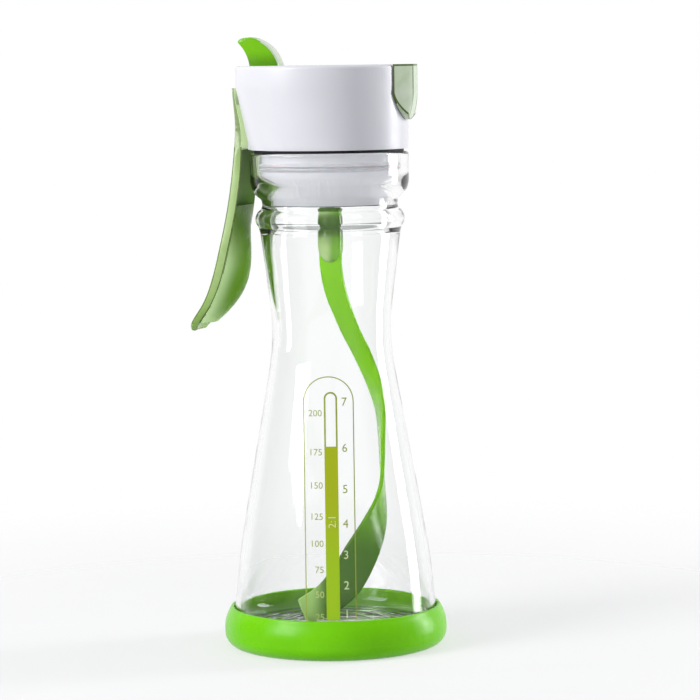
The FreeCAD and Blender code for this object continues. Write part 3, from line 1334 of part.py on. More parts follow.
def pour_lever():
    """Thumb fin, arm, hinge ears and the beak-shaped flap in one piece."""
    lever_x = f"(0 - {LEVER_PIN_X})"
    arm_half = "(arm_width / 2)"
    under = f"({CAP_TOP} - arm_thickness)"
    plan = padded("BeakPlan", "XY_Plane", beak_plan, "beak_height", f"{CAP_TOP} - beak_height")
    shield = padded("BeakShield", "YZ_Plane", beak_shield, BEAK_NOSE, "overrun")
    clear = cap_form("BeakClear", "beak_gap", f"{CAP_BASE} - overrun", f"{CAP_TOP} + overrun")
    side = padded("BeakSide", "XZ_Plane", beak_side, "beak_width + overrun", "0", True)
    form = shared("BeakForm", shared("BeakProw", plan, shield), side)
    beak = cut("Beak", form, [clear])
    split_x = f"({lever_x} + lever_hub_radius + slot_side + arm_swing)"
    arm = block("LeverArm", (split_x, f"-{arm_half}", under),
                (f"{CAP_FRONT} - arm_step", arm_half, CAP_TOP))
    nose_half = f"({arm_half} * {ARM_NOSE_SHARE})"
    nose = block("LeverNose", (f"{CAP_FRONT} - 2 * arm_step", f"-{nose_half}", under),
                 (f"{CAP_FRONT} + beak_gap * 3", nose_half, CAP_TOP))
    fin = padded("LeverFin", "XZ_Plane", fin_outline, "fin_width", "0", True)
    heel = block("LeverHeel", (f"-{FIN_REAR}", "-lever_hub_width / 2", under),
                 (f"{split_x} + overrun", "lever_hub_width / 2", CAP_TOP))
    web = block("LeverWeb", (f"{lever_x} - lever_hub_radius", "-lever_hub_width / 2", LEVER_PIN_Z),
                (f"{lever_x} + lever_hub_radius", "lever_hub_width / 2", CAP_TOP))
    hub = cross_pin("LeverHub", "lever_hub_radius", "lever_hub_width", lever_x, LEVER_PIN_Z)
    whole = joined("LeverWhole", [arm, nose, beak, fin, heel, web, hub])
    pocket = "(lever_spring_pocket / 2)"
    tools = [
        cross_pin("LeverHole", "lever_pin_radius + pin_fit", "2 * lever_hub_width", lever_x,
                  LEVER_PIN_Z),
        cross_pin("LeverPocket", "lever_spring_radius", "lever_spring_pocket", lever_x,
                  LEVER_PIN_Z),
        block("LeverFloorSlot", (f"{lever_x} - 2 * lever_hub_radius", f"-{pocket}",
                                 f"{LEVER_PIN_Z} - 2 * lever_hub_radius"),
              (f"{lever_x} + 2 * lever_hub_radius", pocket, LEVER_PIN_Z)),
        block("LeverLegSlot", (f"{lever_x} + lever_pin_radius", f"-{pocket}", LEVER_PIN_Z),
              (f"{lever_x} + lever_spring_radius", pocket,
               f"{LEVER_PIN_Z} + spring_leg + lever_spring_wire")),
    ]
    node(cut("PourLever", whole, tools), "pour_lever")


def spout_seal():
    """Pad on the inside of the flap that fills the pour notch."""
    wedge = padded("SealWedge", "YZ_Plane", notch_outline("(0 - seal_gap)"), CAP_HEAD,
                   "pour_near")
    clear = cap_form("SealClear", "beak_gap", f"{CAP_BASE} - overrun",
                     f"{CAP_TOP} - arm_thickness")
    core = cap_form("SealCore", "(0 - seal_depth)", f"{CAP_BASE} - 2 * overrun",
                    f"{CAP_TOP} + overrun")
    pad = cut("SealPad", shared("SealForm", wedge, clear), [core])
    node(pad, "spout_seal")


def write_parts():
    doc.recompute()
    for item in doc.Objects:
        if "Invalid" in item.State or "Error" in item.State:
            raise RuntimeError(f"{item.Name} did not build: {item.State}")
    for name, item in NODES.items():
        shape = item.Shape
        if shape.isNull() or not shape.isValid():
            raise RuntimeError(f"{name} has no valid shape")
        shape.exportStep(f"parts/{name}.step")
        box = shape.BoundBox
        print(f"{name}: {len(shape.Solids)} solid, {shape.Volume:.1f} mm3,"
              f" x {box.XMin:.1f}..{box.XMax:.1f}, y {box.YMin:.1f}..{box.YMax:.1f},"
              f" z {box.ZMin:.1f}..{box.ZMax:.1f}")


glass_bottle()
base_boot()
lid_cap()
lid_plug()
plug_floor()
neck_gasket()
bushings()
gear_cover()
pins()
gears()
drive_rack()
trigger_shell()
trigger_cover()
springs()
drive_shaft()
mixing_blade()
pour_lever()
spout_seal()
write_parts()
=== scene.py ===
# %% [markdown]
# # A glass dressing bottle, piece by piece
#
# The bottle is a turned glass body on a soft green boot, with a white lid that carries a
# squeeze trigger, a thumb lever and a spiral mixing blade. The engineering model already fixes
# the size and the motion of every piece, so here each one gets a smoother skin, rounded edges
# and a finish, and rides on the body that it belongs to.

# %% Load the frame
import json
import math

import bmesh
import bpy
from mathutils import Matrix, Vector


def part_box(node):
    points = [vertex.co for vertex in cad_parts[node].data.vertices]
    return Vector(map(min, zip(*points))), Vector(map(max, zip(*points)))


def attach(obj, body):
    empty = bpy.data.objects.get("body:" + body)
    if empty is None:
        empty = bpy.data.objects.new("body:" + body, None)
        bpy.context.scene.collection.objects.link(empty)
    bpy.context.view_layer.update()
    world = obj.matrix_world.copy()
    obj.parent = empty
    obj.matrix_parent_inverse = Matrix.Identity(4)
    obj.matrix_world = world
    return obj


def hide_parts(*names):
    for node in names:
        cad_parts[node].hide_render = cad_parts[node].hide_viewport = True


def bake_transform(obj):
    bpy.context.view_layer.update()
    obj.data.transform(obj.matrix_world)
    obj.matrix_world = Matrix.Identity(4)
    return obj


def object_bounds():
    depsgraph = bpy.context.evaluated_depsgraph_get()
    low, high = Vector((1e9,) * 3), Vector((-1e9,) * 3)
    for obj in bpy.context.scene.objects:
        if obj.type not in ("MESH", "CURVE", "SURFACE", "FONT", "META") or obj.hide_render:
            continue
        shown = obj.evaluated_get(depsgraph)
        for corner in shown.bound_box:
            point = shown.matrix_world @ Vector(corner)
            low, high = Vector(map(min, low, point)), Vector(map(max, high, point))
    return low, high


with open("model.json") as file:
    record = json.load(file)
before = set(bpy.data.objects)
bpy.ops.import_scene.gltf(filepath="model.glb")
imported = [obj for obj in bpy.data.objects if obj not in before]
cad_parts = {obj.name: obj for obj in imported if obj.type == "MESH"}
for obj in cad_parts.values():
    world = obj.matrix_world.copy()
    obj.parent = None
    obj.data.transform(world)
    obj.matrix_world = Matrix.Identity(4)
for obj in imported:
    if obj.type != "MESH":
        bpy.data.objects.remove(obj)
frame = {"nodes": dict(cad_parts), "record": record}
CAD_LOW, CAD_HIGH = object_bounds()
STATED_HEIGHT = 213
MM = CAD_HIGH.z / STATED_HEIGHT
print("nodes:", len(frame["nodes"]), "one millimetre is", round(MM, 6))

# %% [markdown]
# ## Where the camera stands
#
# The photo was taken from the height of the lid's top, a little to the spout's side. A long
# lens keeps the glass upright. The bottle leans slightly in the picture, which a small roll of
# the camera gives back. All places beside the view, such as those of the lamps, are later given
# along `image_right` and `toward_camera`.

# %% Camera
PHOTO_PIXELS = 700
VIEW_AZIMUTH = math.radians(15.5)
CAMERA_DISTANCE = 1090
CAMERA_HEIGHT = 204
PIXELS_PER_MM = 2.87
AIM_HEIGHT = 103.6
AIM_RIGHT = 6.3
CAMERA_ROLL = math.radians(-0.8)
NEAREST = 10

UP = Vector((0, 0, 1))
toward_camera = Vector((math.sin(VIEW_AZIMUTH), -math.cos(VIEW_AZIMUTH), 0))
image_right = Vector((math.cos(VIEW_AZIMUTH), math.sin(VIEW_AZIMUTH), 0))
camera = bpy.data.objects.new("camera", bpy.data.cameras.new("camera"))
bpy.context.scene.collection.objects.link(camera)
bpy.context.scene.camera = camera
camera.data.lens = camera.data.sensor_width * PIXELS_PER_MM * CAMERA_DISTANCE / PHOTO_PIXELS
stand = (toward_camera * CAMERA_DISTANCE + UP * CAMERA_HEIGHT) * MM
aim = (image_right * AIM_RIGHT + UP * AIM_HEIGHT) * MM - stand
turn = aim.to_track_quat("-Z", "Y").to_matrix().to_4x4() @ Matrix.Rotation(CAMERA_ROLL, 4, "Z")
camera.matrix_world = Matrix.Translation(stand) @ turn
camera.data.clip_start = NEAREST * MM
print("lens", round(camera.data.lens, 1), "mm")

# %% [markdown]
# ## Sums in node trees
#
# Node trees read badly as code, so one small class wraps a socket and lets it be added and
# multiplied like a number. Its `node` method makes any other node from a type, its settings
# and what goes into its sockets. It serves shader trees and geometry trees alike.

# %% A socket that behaves like a number
class Value:
    """A node socket that takes part in sums."""

    def __init__(self, tree, socket=None):
        self.tree = tree
        self.socket = socket

    def feed(self, target, value):
        if isinstance(value, Value):
            self.tree.links.new(value.socket, target)
        else:
            target.default_value = value

    def node(self, kind, settings=None, sockets=None, output=0):
        made = self.tree.nodes.new(kind)
        for name, value in (settings or {}).items():
            setattr(made, name, value)
        for name, value in (sockets or {}).items():
            self.feed(made.inputs[name], value)
        return Value(self.tree, made.outputs[output])

    def sum(self, operation, first, second):
        return self.node("ShaderNodeMath", {"operation": operation}, {0: first, 1: second})

    def __add__(self, other):
        return self.sum("ADD", self, other)

    def __sub__(self, other):
        return self.sum("SUBTRACT", self, other)

    def __rsub__(self, other):
        return self.sum("SUBTRACT", other, self)

    def __mul__(self, other):
        return self.sum("MULTIPLY", self, other)

    def __truediv__(self, other):
        return self.sum("DIVIDE", self, other)

    def __rtruediv__(self, other):
        return self.sum("DIVIDE", other, self)

    def __abs__(self):
        return self.node("ShaderNodeMath", {"operation": "ABSOLUTE"}, {0: self})

    def spread(self, low, high, from_low=0.0, from_high=1.0):
        """This value carried smoothly from one span to another."""
        return self.node("ShaderNodeMapRange", {"interpolation_type": "SMOOTHSTEP"},
                         {"Value": self, "From Min": from_low, "From Max": from_high,
                          "To Min": low, "To Max": high})

    def blend(self, first, second):
        """The second colour where this value is one, and the first where it is nothing."""
        return self.node("ShaderNodeMix", {"data_type": "RGBA"}, {"Factor": self, 6: first, 7: second}, 2)

    __radd__ = __add__
    __rmul__ = __mul__


print("node sums ready")

# %% [markdown]
# ## Finishes
#
# Every finish starts from Blender's Principled shader. What is the same all over is set on the
# shader's own socket. What varies comes from noise or from a place in the piece's own
# coordinates, so that it stays on the piece when it moves.

# %% One class for all finishes
CLOUD_SPAN, WEAR_SPAN = (0.35, 0.65), (0.3, 0.7)


class Finish:
    """A material with one surface shader and helpers for its usual textures."""

    def __init__(self, name, **constants):
        self.material = bpy.data.materials.new(name)
        self.material.use_nodes = True
        self.value = Value(self.material.node_tree)
        self.surface = self.material.node_tree.nodes["Principled BSDF"]
        for socket, number in constants.items():
            self.surface.inputs[socket.replace("_", " ")].default_value = number
        self.place = self.value.node("ShaderNodeTexCoord", output="Object")

    def set(self, socket, value):
        self.value.feed(self.surface.inputs[socket], value)
        return self

    def noise(self, per_mm, detail=3, stretch=(1, 1, 1)):
        """Grain with about this many spots to a millimetre."""
        scale = tuple(axis * per_mm / MM for axis in stretch)
        at = self.value.node("ShaderNodeVectorMath", {"operation": "MULTIPLY"},
                             {0: self.place, 1: scale}, "Vector")
        return self.value.node("ShaderNodeTexNoise", {},
                               {"Vector": at, "Scale": 1, "Detail": detail}, "Fac")

    def axis(self, name):
        """A coordinate of the piece in millimetres."""
        return self.value.node("ShaderNodeSeparateXYZ", {}, {"Vector": self.place}, name) / MM

    def from_axis(self):
        """The distance from the bottle's axis in millimetres."""
        x, y = self.axis("X"), self.axis("Y")
        return self.value.sum("POWER", x * x + y * y, 0.5)

    def rightward(self):
        """The distance from the bottle's axis along image_right in millimetres."""
        return self.axis("X") * image_right.x + self.axis("Y") * image_right.y

    def fade(self, span, low, high):
        """One colour below a span of heights in millimetres, and another above it."""
        return self.axis("Z").spread(0, 1, *span).blend(low, high)

    def clouds(self, per_mm, first, second):
        """Two close tones in soft clouds."""
        return self.noise(per_mm, 2).spread(0, 1, *CLOUD_SPAN).blend(first, second)

    def mottle(self, per_mm, first, second):
        """Clouds as the colour of the whole piece."""
        return self.set("Base Color", self.clouds(per_mm, first, second))

    def wear(self, per_mm, least, most):
        """Roughness that wanders between two values."""
        return self.set("Roughness", self.noise(per_mm, 4).spread(least, most, *WEAR_SPAN))

    def bump(self, height, depth_mm, strength=0.3):
        return self.set("Normal", self.value.node(
            "ShaderNodeBump", {}, {"Height": height, "Distance": depth_mm * MM, "Strength": strength},
            "Normal"))


print("finish helper ready")

# %% [markdown]
# ## Mesh helpers
#
# Most pieces of this bottle are either turned on a lathe or cut from a solid with crisp edges.
# `turned` spins an outline, in which a step may be a straight line or an arc given by a point
# on its way. `eased` takes a copy of an engineering piece and breaks its sharp edges, because a
# moulded edge always has a small round that catches the light. `settle` ends the work on a piece:
# it gives it its finishes and sets it on the body that it moves with.

# %% Outlines
def arc_points(first, middle, last, steps):
    """Points after the first on the arc through three points."""
    (ax, ay), (bx, by), (cx, cy) = first, middle, last
    twice = 2 * (ax * (by - cy) + bx * (cy - ay) + cx * (ay - by))
    one, two, three = ax * ax + ay * ay, bx * bx + by * by, cx * cx + cy * cy
    x = (one * (by - cy) + two * (cy - ay) + three * (ay - by)) / twice
    y = (one * (cx - bx) + two * (ax - cx) + three * (bx - ax)) / twice
    radius = math.hypot(ax - x, ay - y)
    start = math.atan2(ay - y, ax - x)
    by_way = (math.atan2(by - y, bx - x) - start) % math.tau
    sweep = (math.atan2(cy - y, cx - x) - start) % math.tau
    if by_way > sweep:
        sweep -= math.tau
    return [(x + radius * math.cos(start + sweep * n / steps),
             y + radius * math.sin(start + sweep * n / steps)) for n in range(1, steps + 1)]


def outline_points(rows, line_step=4.0, arc_steps=12):
    """An outline of points, with (way, end) pairs as arcs and long lines divided."""
    points = [rows[0]]
    for row in rows[1:]:
        if isinstance(row[0], tuple):
            points += arc_points(points[-1], row[0], row[1], arc_steps)
            continue
        (ax, ay), (bx, by) = points[-1], row
        parts = max(1, round(math.hypot(bx - ax, by - ay) / line_step))
        points += [(ax + (bx - ax) * n / parts, ay + (by - ay) * n / parts)
                   for n in range(1, parts + 1)]
    return points


print("outline helpers ready")

# %% Turning
def made(name, bm):
    """An object from a closed mesh, faces outward."""
    bmesh.ops.recalc_face_normals(bm, faces=bm.faces)
    mesh = bpy.data.meshes.new(name)
    bm.to_mesh(mesh)
    bm.free()
    obj = bpy.data.objects.new(name, mesh)
    bpy.context.scene.collection.objects.link(obj)
    return obj


def turned(name, rows, sides=160, **steps):
    """Spins an outline of millimetre points about the bottle's axis; ends on the axis close."""
    bm = bmesh.new()
    rings = []
    for radius, height in outline_points(rows, **steps):
        if radius == 0:
            rings.append([bm.verts.new((0, 0, height * MM))] * sides)
            continue
        rings.append([bm.verts.new((radius * math.cos(math.tau * n / sides) * MM,
                                    radius * math.sin(math.tau * n / sides) * MM, height * MM))
                      for n in range(sides)])
    for low, high in zip(rings, rings[1:]):
        for n in range(sides):
            corners = [low[n], low[(n + 1) % sides], high[(n + 1) % sides], high[n]]
            bm.faces.new(list(dict.fromkeys(corners)))
    return made(name, bm)


print("turning helpers ready")

# %% Easing and settling
WELD = 0.002
FLAT = math.radians(0.5)


def eased(name, node, rules, sharp=35):
    """A copy of an engineering piece whose sharp edges are rounded, each by the first rule
    (test of the edge's middle in millimetres, radius, steps, finish number or -1) that fits.
    An edge with a finish of its own keeps its full width beside short neighbours."""
    bm = bmesh.new()
    bm.from_mesh(frame["nodes"][node].data)
    bmesh.ops.remove_doubles(bm, verts=bm.verts, dist=WELD * MM)
    bmesh.ops.dissolve_limit(bm, angle_limit=FLAT, verts=bm.verts, edges=bm.edges)
    for face in bm.faces:
        face.material_index = 0
    groups = [[] for rule in rules]
    for edge in bm.edges:
        if edge.calc_face_angle(0) < math.radians(sharp):
            continue
        middle = (edge.verts[0].co + edge.verts[1].co) / (2 * MM)
        for group, rule in zip(groups, rules):
            if rule[0](middle):
                group.append(edge)
                break
    for group, (_, radius, steps, number) in zip(groups, rules):
        group = [edge for edge in group if edge.is_valid]
        bmesh.ops.bevel(bm, geom=group, offset=radius * MM, segments=steps, profile=0.5,
                        affect="EDGES", clamp_overlap=number < 0, material=number)
    return made(name, bm)


def settle(obj, body, slot, finishes, *nodes, smooth=30):
    """Gives a piece its finishes and smooth shading, and sets it on its body."""
    for number, finish in enumerate(finishes):
        if number < len(obj.data.materials):
            obj.data.materials[number] = finish.material
        else:
            obj.data.materials.append(finish.material)
    obj.data.shade_smooth()
    obj.data.set_sharp_from_angle(angle=math.radians(smooth))
    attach(obj, body)
    if nodes:
        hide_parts(*nodes)
    print(obj.name, "has", len(obj.data.polygons), "faces")
    return obj


def everywhere(at):
    return True


print("easing helpers ready")

# %% [markdown]
# ## Clear glass
#
# Pressed soda glass is clear with a faint green tint, and its skin is never quite even. A weak,
# broad bump bends the reflections a little, as the mould does.

# %% Glass finish
glass = Finish("clear_glass", Transmission_Weight=1.0, IOR=1.47, Roughness=0.0,
               Specular_Tint=(0.6, 0.6, 0.6, 1))
glass.mottle(0.02, (0.985, 0.993, 0.99, 1), (0.99, 0.995, 0.995, 1))
glass.bump(glass.noise(0.09, 1), 0.4, 0.14)
print("glass finish ready")

# %% [markdown]
# ## Bottle
#
# A bottle is round all over, so one outline says everything. It runs from the hollow under the
# foot, round the heel, up the cone and the waist to the bead, the groove and the collar, over
# the rim and back down the inside. Spinning the wall as one closed skin gives the light two
# surfaces to bend at, which is what makes glass look thick. Four low ridges on the floor catch
# the light as rings.

# %% Turned bottle
GLASS_OUTSIDE = [
    (0, 4.2), (12, 4.2), (29.3, 2.0), (31.5, 2.0), ((34.51, 5.52), (35.6, 10)),
    ((33.95, 27.5), (31.3, 45)), (21.9, 98), ((20.8, 110.5), (21.3, 120)), (24.32, 144),
    ((24.72, 146.1), (25.35, 147.6)), ((26.0, 149.9), (24.2, 153.2)), ((23.6, 155.3), (24.9, 157.4)),
    ((26.95, 160.09), (27.7, 163.8)), (27.7, 171.8), ((27.35, 172.65), (26.5, 173)),
]
GLASS_INSIDE = [
    (25.5, 173), (24.9, 172.4), (24.9, 163.5), (20.6, 157.4), (20.6, 153.2),
    ((21.1, 148), (21.1, 140)), (19.5, 120), ((19.0, 110.5), (20.1, 98)), (29.5, 45),
    ((32.15, 27.5), (33.8, 12)), ((32.57, 9.03), (29.6, 7.8)),
]
FLOOR_TOP, RIDGE_TOP, RIDGE_HALF = 7.8, 8.5, 0.8
for middle in (27.8, 23.6, 18.8, 13.4):
    GLASS_INSIDE += [(middle + RIDGE_HALF, FLOOR_TOP),
                     ((middle, RIDGE_TOP), (middle - RIDGE_HALF, FLOOR_TOP))]
GLASS_INSIDE.append((0, FLOOR_TOP))
settle(turned("bottle_glass", GLASS_OUTSIDE + GLASS_INSIDE, line_step=2.0), "bottle", "clear_glass",
       [glass], "glass_bottle", smooth=40)

# %% [markdown]
# ## Grip dots under the foot
#
# The underside of pressed glass is stippled, so that scratches from the table don't weaken it.
# Such dots repeat, and Geometry Nodes are the tool for repeats: a ring of points, a tiny dome on
# each, and the same ring again at three radii. The helper below runs a node tree on a small
# start mesh and keeps the result as a plain mesh.

# %% A runner for node trees
def new_tree(name, sizes):
    """An empty geometry tree with named sizes, and the sockets that carry them."""
    tree = bpy.data.node_groups.new(name, "GeometryNodeTree")
    tree.interface.new_socket("Geometry", in_out="INPUT", socket_type="NodeSocketGeometry")
    tree.interface.new_socket("Geometry", in_out="OUTPUT", socket_type="NodeSocketGeometry")
    kinds = {float: "NodeSocketFloat", int: "NodeSocketInt"}
    keys = {label: tree.interface.new_socket(label, in_out="INPUT", socket_type=kinds[type(number)])
            .identifier for label, number in sizes.items()}
    entry = tree.nodes.new("NodeGroupInput")
    sockets = {label: Value(tree, entry.outputs[label]) for label in ["Geometry", *sizes]}
    return Value(tree), sockets, keys


def close_tree(value, geometry, finish):
    """Ends a tree with real geometry and its finish."""
    real = value.node("GeometryNodeRealizeInstances", {}, {"Geometry": geometry})
    painted = value.node("GeometryNodeSetMaterial", {}, {"Geometry": real, "Material": finish.material})
    value.feed(value.tree.nodes.new("NodeGroupOutput").inputs[0], painted)


def grown(obj, tree, sizes, keys):
    """Runs a tree on an object and keeps what it grows as the object's own mesh."""
    modifier = obj.modifiers.new(tree.name, "NODES")
    modifier.node_group = tree
    for label, number in sizes.items():
        modifier[keys[label]] = number
    depsgraph = bpy.context.evaluated_depsgraph_get()
    mesh = bpy.data.meshes.new_from_object(obj.evaluated_get(depsgraph))
    obj.modifiers.clear()
    obj.data = mesh
    return obj


def bare_object(name, points, edges=()):
    mesh = bpy.data.meshes.new(name)
    mesh.from_pydata([tuple(point) for point in points], list(edges), [])
    obj = bpy.data.objects.new(name, mesh)
    bpy.context.scene.collection.objects.link(obj)
    return obj


print("tree runner ready")

# %% Dots
DOT_RINGS = 3
DOT_SIZES = {"Dots": 150, "First ring": 25.6 * MM, "Ring step": 1.1 * MM, "Dot radius": 0.32 * MM,
             "Height": 2.28 * MM}
value, sockets, keys = new_tree("foot_dots", DOT_SIZES)
dot = value.node("GeometryNodeMeshIcoSphere", {}, {"Radius": sockets["Dot radius"], "Subdivisions": 1})
rings = []
for number in range(DOT_RINGS):
    radius = sockets["First ring"] + sockets["Ring step"] * number
    ring = value.node("GeometryNodeMeshCircle", {}, {"Vertices": sockets["Dots"], "Radius": radius})
    lift = value.node("ShaderNodeCombineXYZ", {}, {"Z": sockets["Height"]})
    rings.append(value.node("GeometryNodeTransform", {}, {
        "Geometry": ring, "Translation": lift,
        "Rotation": (0, 0, math.pi * number / DOT_SIZES["Dots"])}))
together = value.node("GeometryNodeJoinGeometry")
join = together.socket.node
for ring in reversed(rings):
    value.tree.links.new(ring.socket, join.inputs[0])
spots = value.node("GeometryNodeInstanceOnPoints", {}, {"Points": together, "Instance": dot})
close_tree(value, spots, glass)
dots = grown(bare_object("foot_dots", [(0, 0, 0)]), value.tree, DOT_SIZES, keys)
settle(dots, "bottle", "clear_glass", [glass], smooth=80)

# %% [markdown]
# ## Soft boot
#
# The boot is a soft, glossy cup of lime rubber that keeps the foot from slipping. It is round
# too, so it is turned as well, with a rounded lip and a shallow hollow below that leaves a ring
# to stand on. Rubber shows a soft, broad gloss, so its roughness wanders a little. Seen through
# the thick glass, the cup's wall gets painted light and its floor a painted shade that is nearly
# black.

# %% Boot
# heights, and distances from the axis, where the wall's painted light and the floor's painted shade begin or
# end
WALL_HEIGHT, WALL_EDGE = (4, 6), (35.75, 35.95)
FLOOR_FROM, FLOOR_UNTIL, FLOOR_EDGE = (1, 1.6), (3, 7), (34.4, 35.4)
rubber_green = Finish("green_rubber", Specular_IOR_Level=0.22)
cup_z, cup_r = rubber_green.axis("Z"), rubber_green.from_axis()
wall_painted_light = cup_z.spread(0, 1, *WALL_HEIGHT) * cup_r.spread(1, 0, *WALL_EDGE)
in_layer = cup_z.spread(0, 1, *FLOOR_FROM) * cup_z.spread(1, 0, *FLOOR_UNTIL)
floor_painted_shade = in_layer * cup_r.spread(1, 0, *FLOOR_EDGE)
lime = rubber_green.clouds(0.04, (0.165, 0.6, 0.001, 1), (0.19, 0.66, 0.001, 1))
# the cup's wall gets painted light, and its floor a nearly black painted shade
rubber_green.set("Base Color", floor_painted_shade.blend(
    wall_painted_light.blend(lime, (0.3, 0.85, 0.01, 1)), (0.02, 0.08, 0.002, 1)))
rubber_green.wear(0.2, 0.24, 0.34)
rubber_green.bump(rubber_green.noise(1.6, 2), 0.05, 0.1)
BOOT_ROWS = [
    (0, 0.6), (27, 0.6), ((27.6, 0.5), (28, 0)), (34.5, 0), ((38.01, 1.98), (39, 5.5)),
    ((38.37, 10.6), (36.95, 13.5)), ((36.72, 13.88), (36.3, 14.0)), ((35.88, 13.9), (35.7, 13.5)),
    (35.7, 5.2), (34.5, 2), (0, 2),
]
settle(turned("soft_boot", BOOT_ROWS), "bottle", "green_rubber", [rubber_green], "base_boot", smooth=50)

# %% [markdown]
# ## White lid
#
# The cap and the plug are moulded in one white plastic. The engineering copies already lean
# back and carry the slots, so they only need their edges eased and a faint lavender white with
# the fine orange-peel skin of a polished mould. The narrow gap above the glass's rim and the
# lower rim of the plug lie in deep shade, so their faces are nearly black and draw two thin
# dark lines.

# %% Lid
SEAT_FOOT, SEAT_TOP, SEAT_EDGE = 172.95, 174.05, 25.4
PLUG_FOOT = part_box("lid_plug")[0].z / MM
PLUG_RIM, RIM_BAND = 19, 0.1
white = Finish("white_plastic", Specular_IOR_Level=0.5)
white.mottle(0.03, (0.79, 0.79, 0.83, 1), (0.82, 0.82, 0.855, 1))
white.wear(0.15, 0.3, 0.4)
white.bump(white.noise(2.5, 2), 0.02, 0.12)
seat_shade = Finish("seat_shade", Specular_IOR_Level=0.2, Roughness=0.6)
seat_shade.mottle(0.1, (0.02, 0.02, 0.022, 1), (0.03, 0.03, 0.033, 1))


def on_plug_rim(at):
    return at.z < PLUG_FOOT + RIM_BAND and math.hypot(at.x, at.y) > PLUG_RIM


settle(eased("cap_shell", "lid_cap", [(everywhere, 0.3, 2, -1)]), "lid", "white_plastic", [white], "lid_cap")
plug = eased("plug_body", "lid_plug", [(on_plug_rim, 0.35, 2, 1), (everywhere, 0.2, 2, -1)])
for face in plug.data.polygons:
    x, y, z = face.center / MM
    if SEAT_FOOT < z < SEAT_TOP and math.hypot(x, y) > SEAT_EDGE:
        face.material_index = 1
settle(plug, "lid", "white_plastic", [white, seat_shade], "lid_plug")

# %% [markdown]
# ## Thumb lever
#
# One moulding joins the green thumb fin behind to the beak-shaped flap over the spout. It is
# tinted, slightly milky plastic: the flap is thin and looks pale, the curved front of the fin is
# milky with a pale painted highlight, and the body of the fin looks deep, with painted shade toward
# its foot. The edges of the flap gather colour and read as fine olive lines, so its upright faces
# get a finish that draws them from the flap's own outline.

# %% Finishes of the lever
FIN_SHADE = (203, 209)
FLAP_HALF, FLAP_TOP, FLAP_KNEE, FLAP_FALL, FLAP_RIDGE = 11.3, 203, 193.5, 9.5, 2.9
FLAP_CURVE, FLAP_ROUND = 1.6, 0.68
RIM_LINE, RIDGE_LINE, TOP_LINE = (0.5, 0.9), (0.2, 0.4), (FLAP_TOP - 0.8, FLAP_TOP - 0.5)
OLIVE = (0.1, 0.16, 0.025, 1)
MILKY, MILKY_LIGHT = (0.6, 0.72, 0.5, 1), (0.7, 0.8, 0.61, 1)
fin_green = Finish("fin_green", Specular_IOR_Level=0.4)
# the fin is painted darker at its foot beside the cap, as shade
fin_green.set("Base Color", fin_green.fade(FIN_SHADE, (0.1, 0.3, 0.006, 1), (0.19, 0.55, 0.006, 1)))
fin_green.wear(0.2, 0.14, 0.22)
milky_highlight_green = Finish("milky_highlight_green", Specular_IOR_Level=0.4)
milky_highlight_green.mottle(0.12, MILKY, MILKY_LIGHT)
milky_highlight_green.wear(0.2, 0.16, 0.26)
flap_green = Finish("flap_green", Specular_IOR_Level=0.4)
flap_y, flap_z = abs(flap_green.axis("Y")), flap_green.axis("Z")
flap_sum = flap_green.value.sum
fallen = flap_sum("POWER", flap_sum("MAXIMUM", (FLAP_KNEE - flap_z) / FLAP_FALL, 0), FLAP_CURVE)
flap_edge = flap_sum("POWER", flap_sum("MAXIMUM", 1 - fallen, 0), FLAP_ROUND) * FLAP_HALF
rim_line = (flap_edge - flap_y).spread(1, 0, *RIM_LINE)
ridge_line = abs(flap_y - FLAP_RIDGE).spread(1, 0, *RIDGE_LINE)
lined = flap_sum("MAXIMUM", rim_line, flap_sum("MAXIMUM", ridge_line, flap_z.spread(0, 1, *TOP_LINE)))
flap_green.set("Base Color", lined.blend(flap_green.clouds(0.12, MILKY, MILKY_LIGHT), OLIVE))
flap_green.wear(0.2, 0.16, 0.26)
print("lever finishes ready")

# %% Lever
FIN_FOOT, FLAP_REAR = 203.2, 25.4
FRONTWARD, UPRIGHT = 0.35, 0.6


def above_cap(at):
    return at.z > FIN_FOOT


lever = eased("thumb_lever", "pour_lever", [(above_cap, 0.8, 3, 0), (everywhere, 0.2, 2, -1)], sharp=20)
# the fin's curved front gets the milky finish, which there is a painted highlight
for face in lever.data.polygons:
    if face.center.z / MM < FIN_FOOT or face.normal.x > FRONTWARD:
        face.material_index = 1
    if face.center.x / MM > FLAP_REAR and abs(face.normal.z) < UPRIGHT:
        face.material_index = 2
settle(lever, "lever", "light_green_plastic", [fin_green, milky_highlight_green, flap_green], "pour_lever")

# %% [markdown]
# ## Squeeze trigger
#
# A light green outer shell runs down behind the neck and ends in a rounded tail. A darker cover
# bulges out of its hollow toward the bottle. Near the shell, where the cover is thin, it is painted
# pale with a faint painted glow, in place of light coming through it, and toward its crest and
# toward the lid it is painted darker, as shade. The shell is painted darker at its top end as
# shade, its inner side lies in painted shade below the cap, and beside the cap that side gets
# painted light with a faint painted glow. Fine olive lines mark the edges.

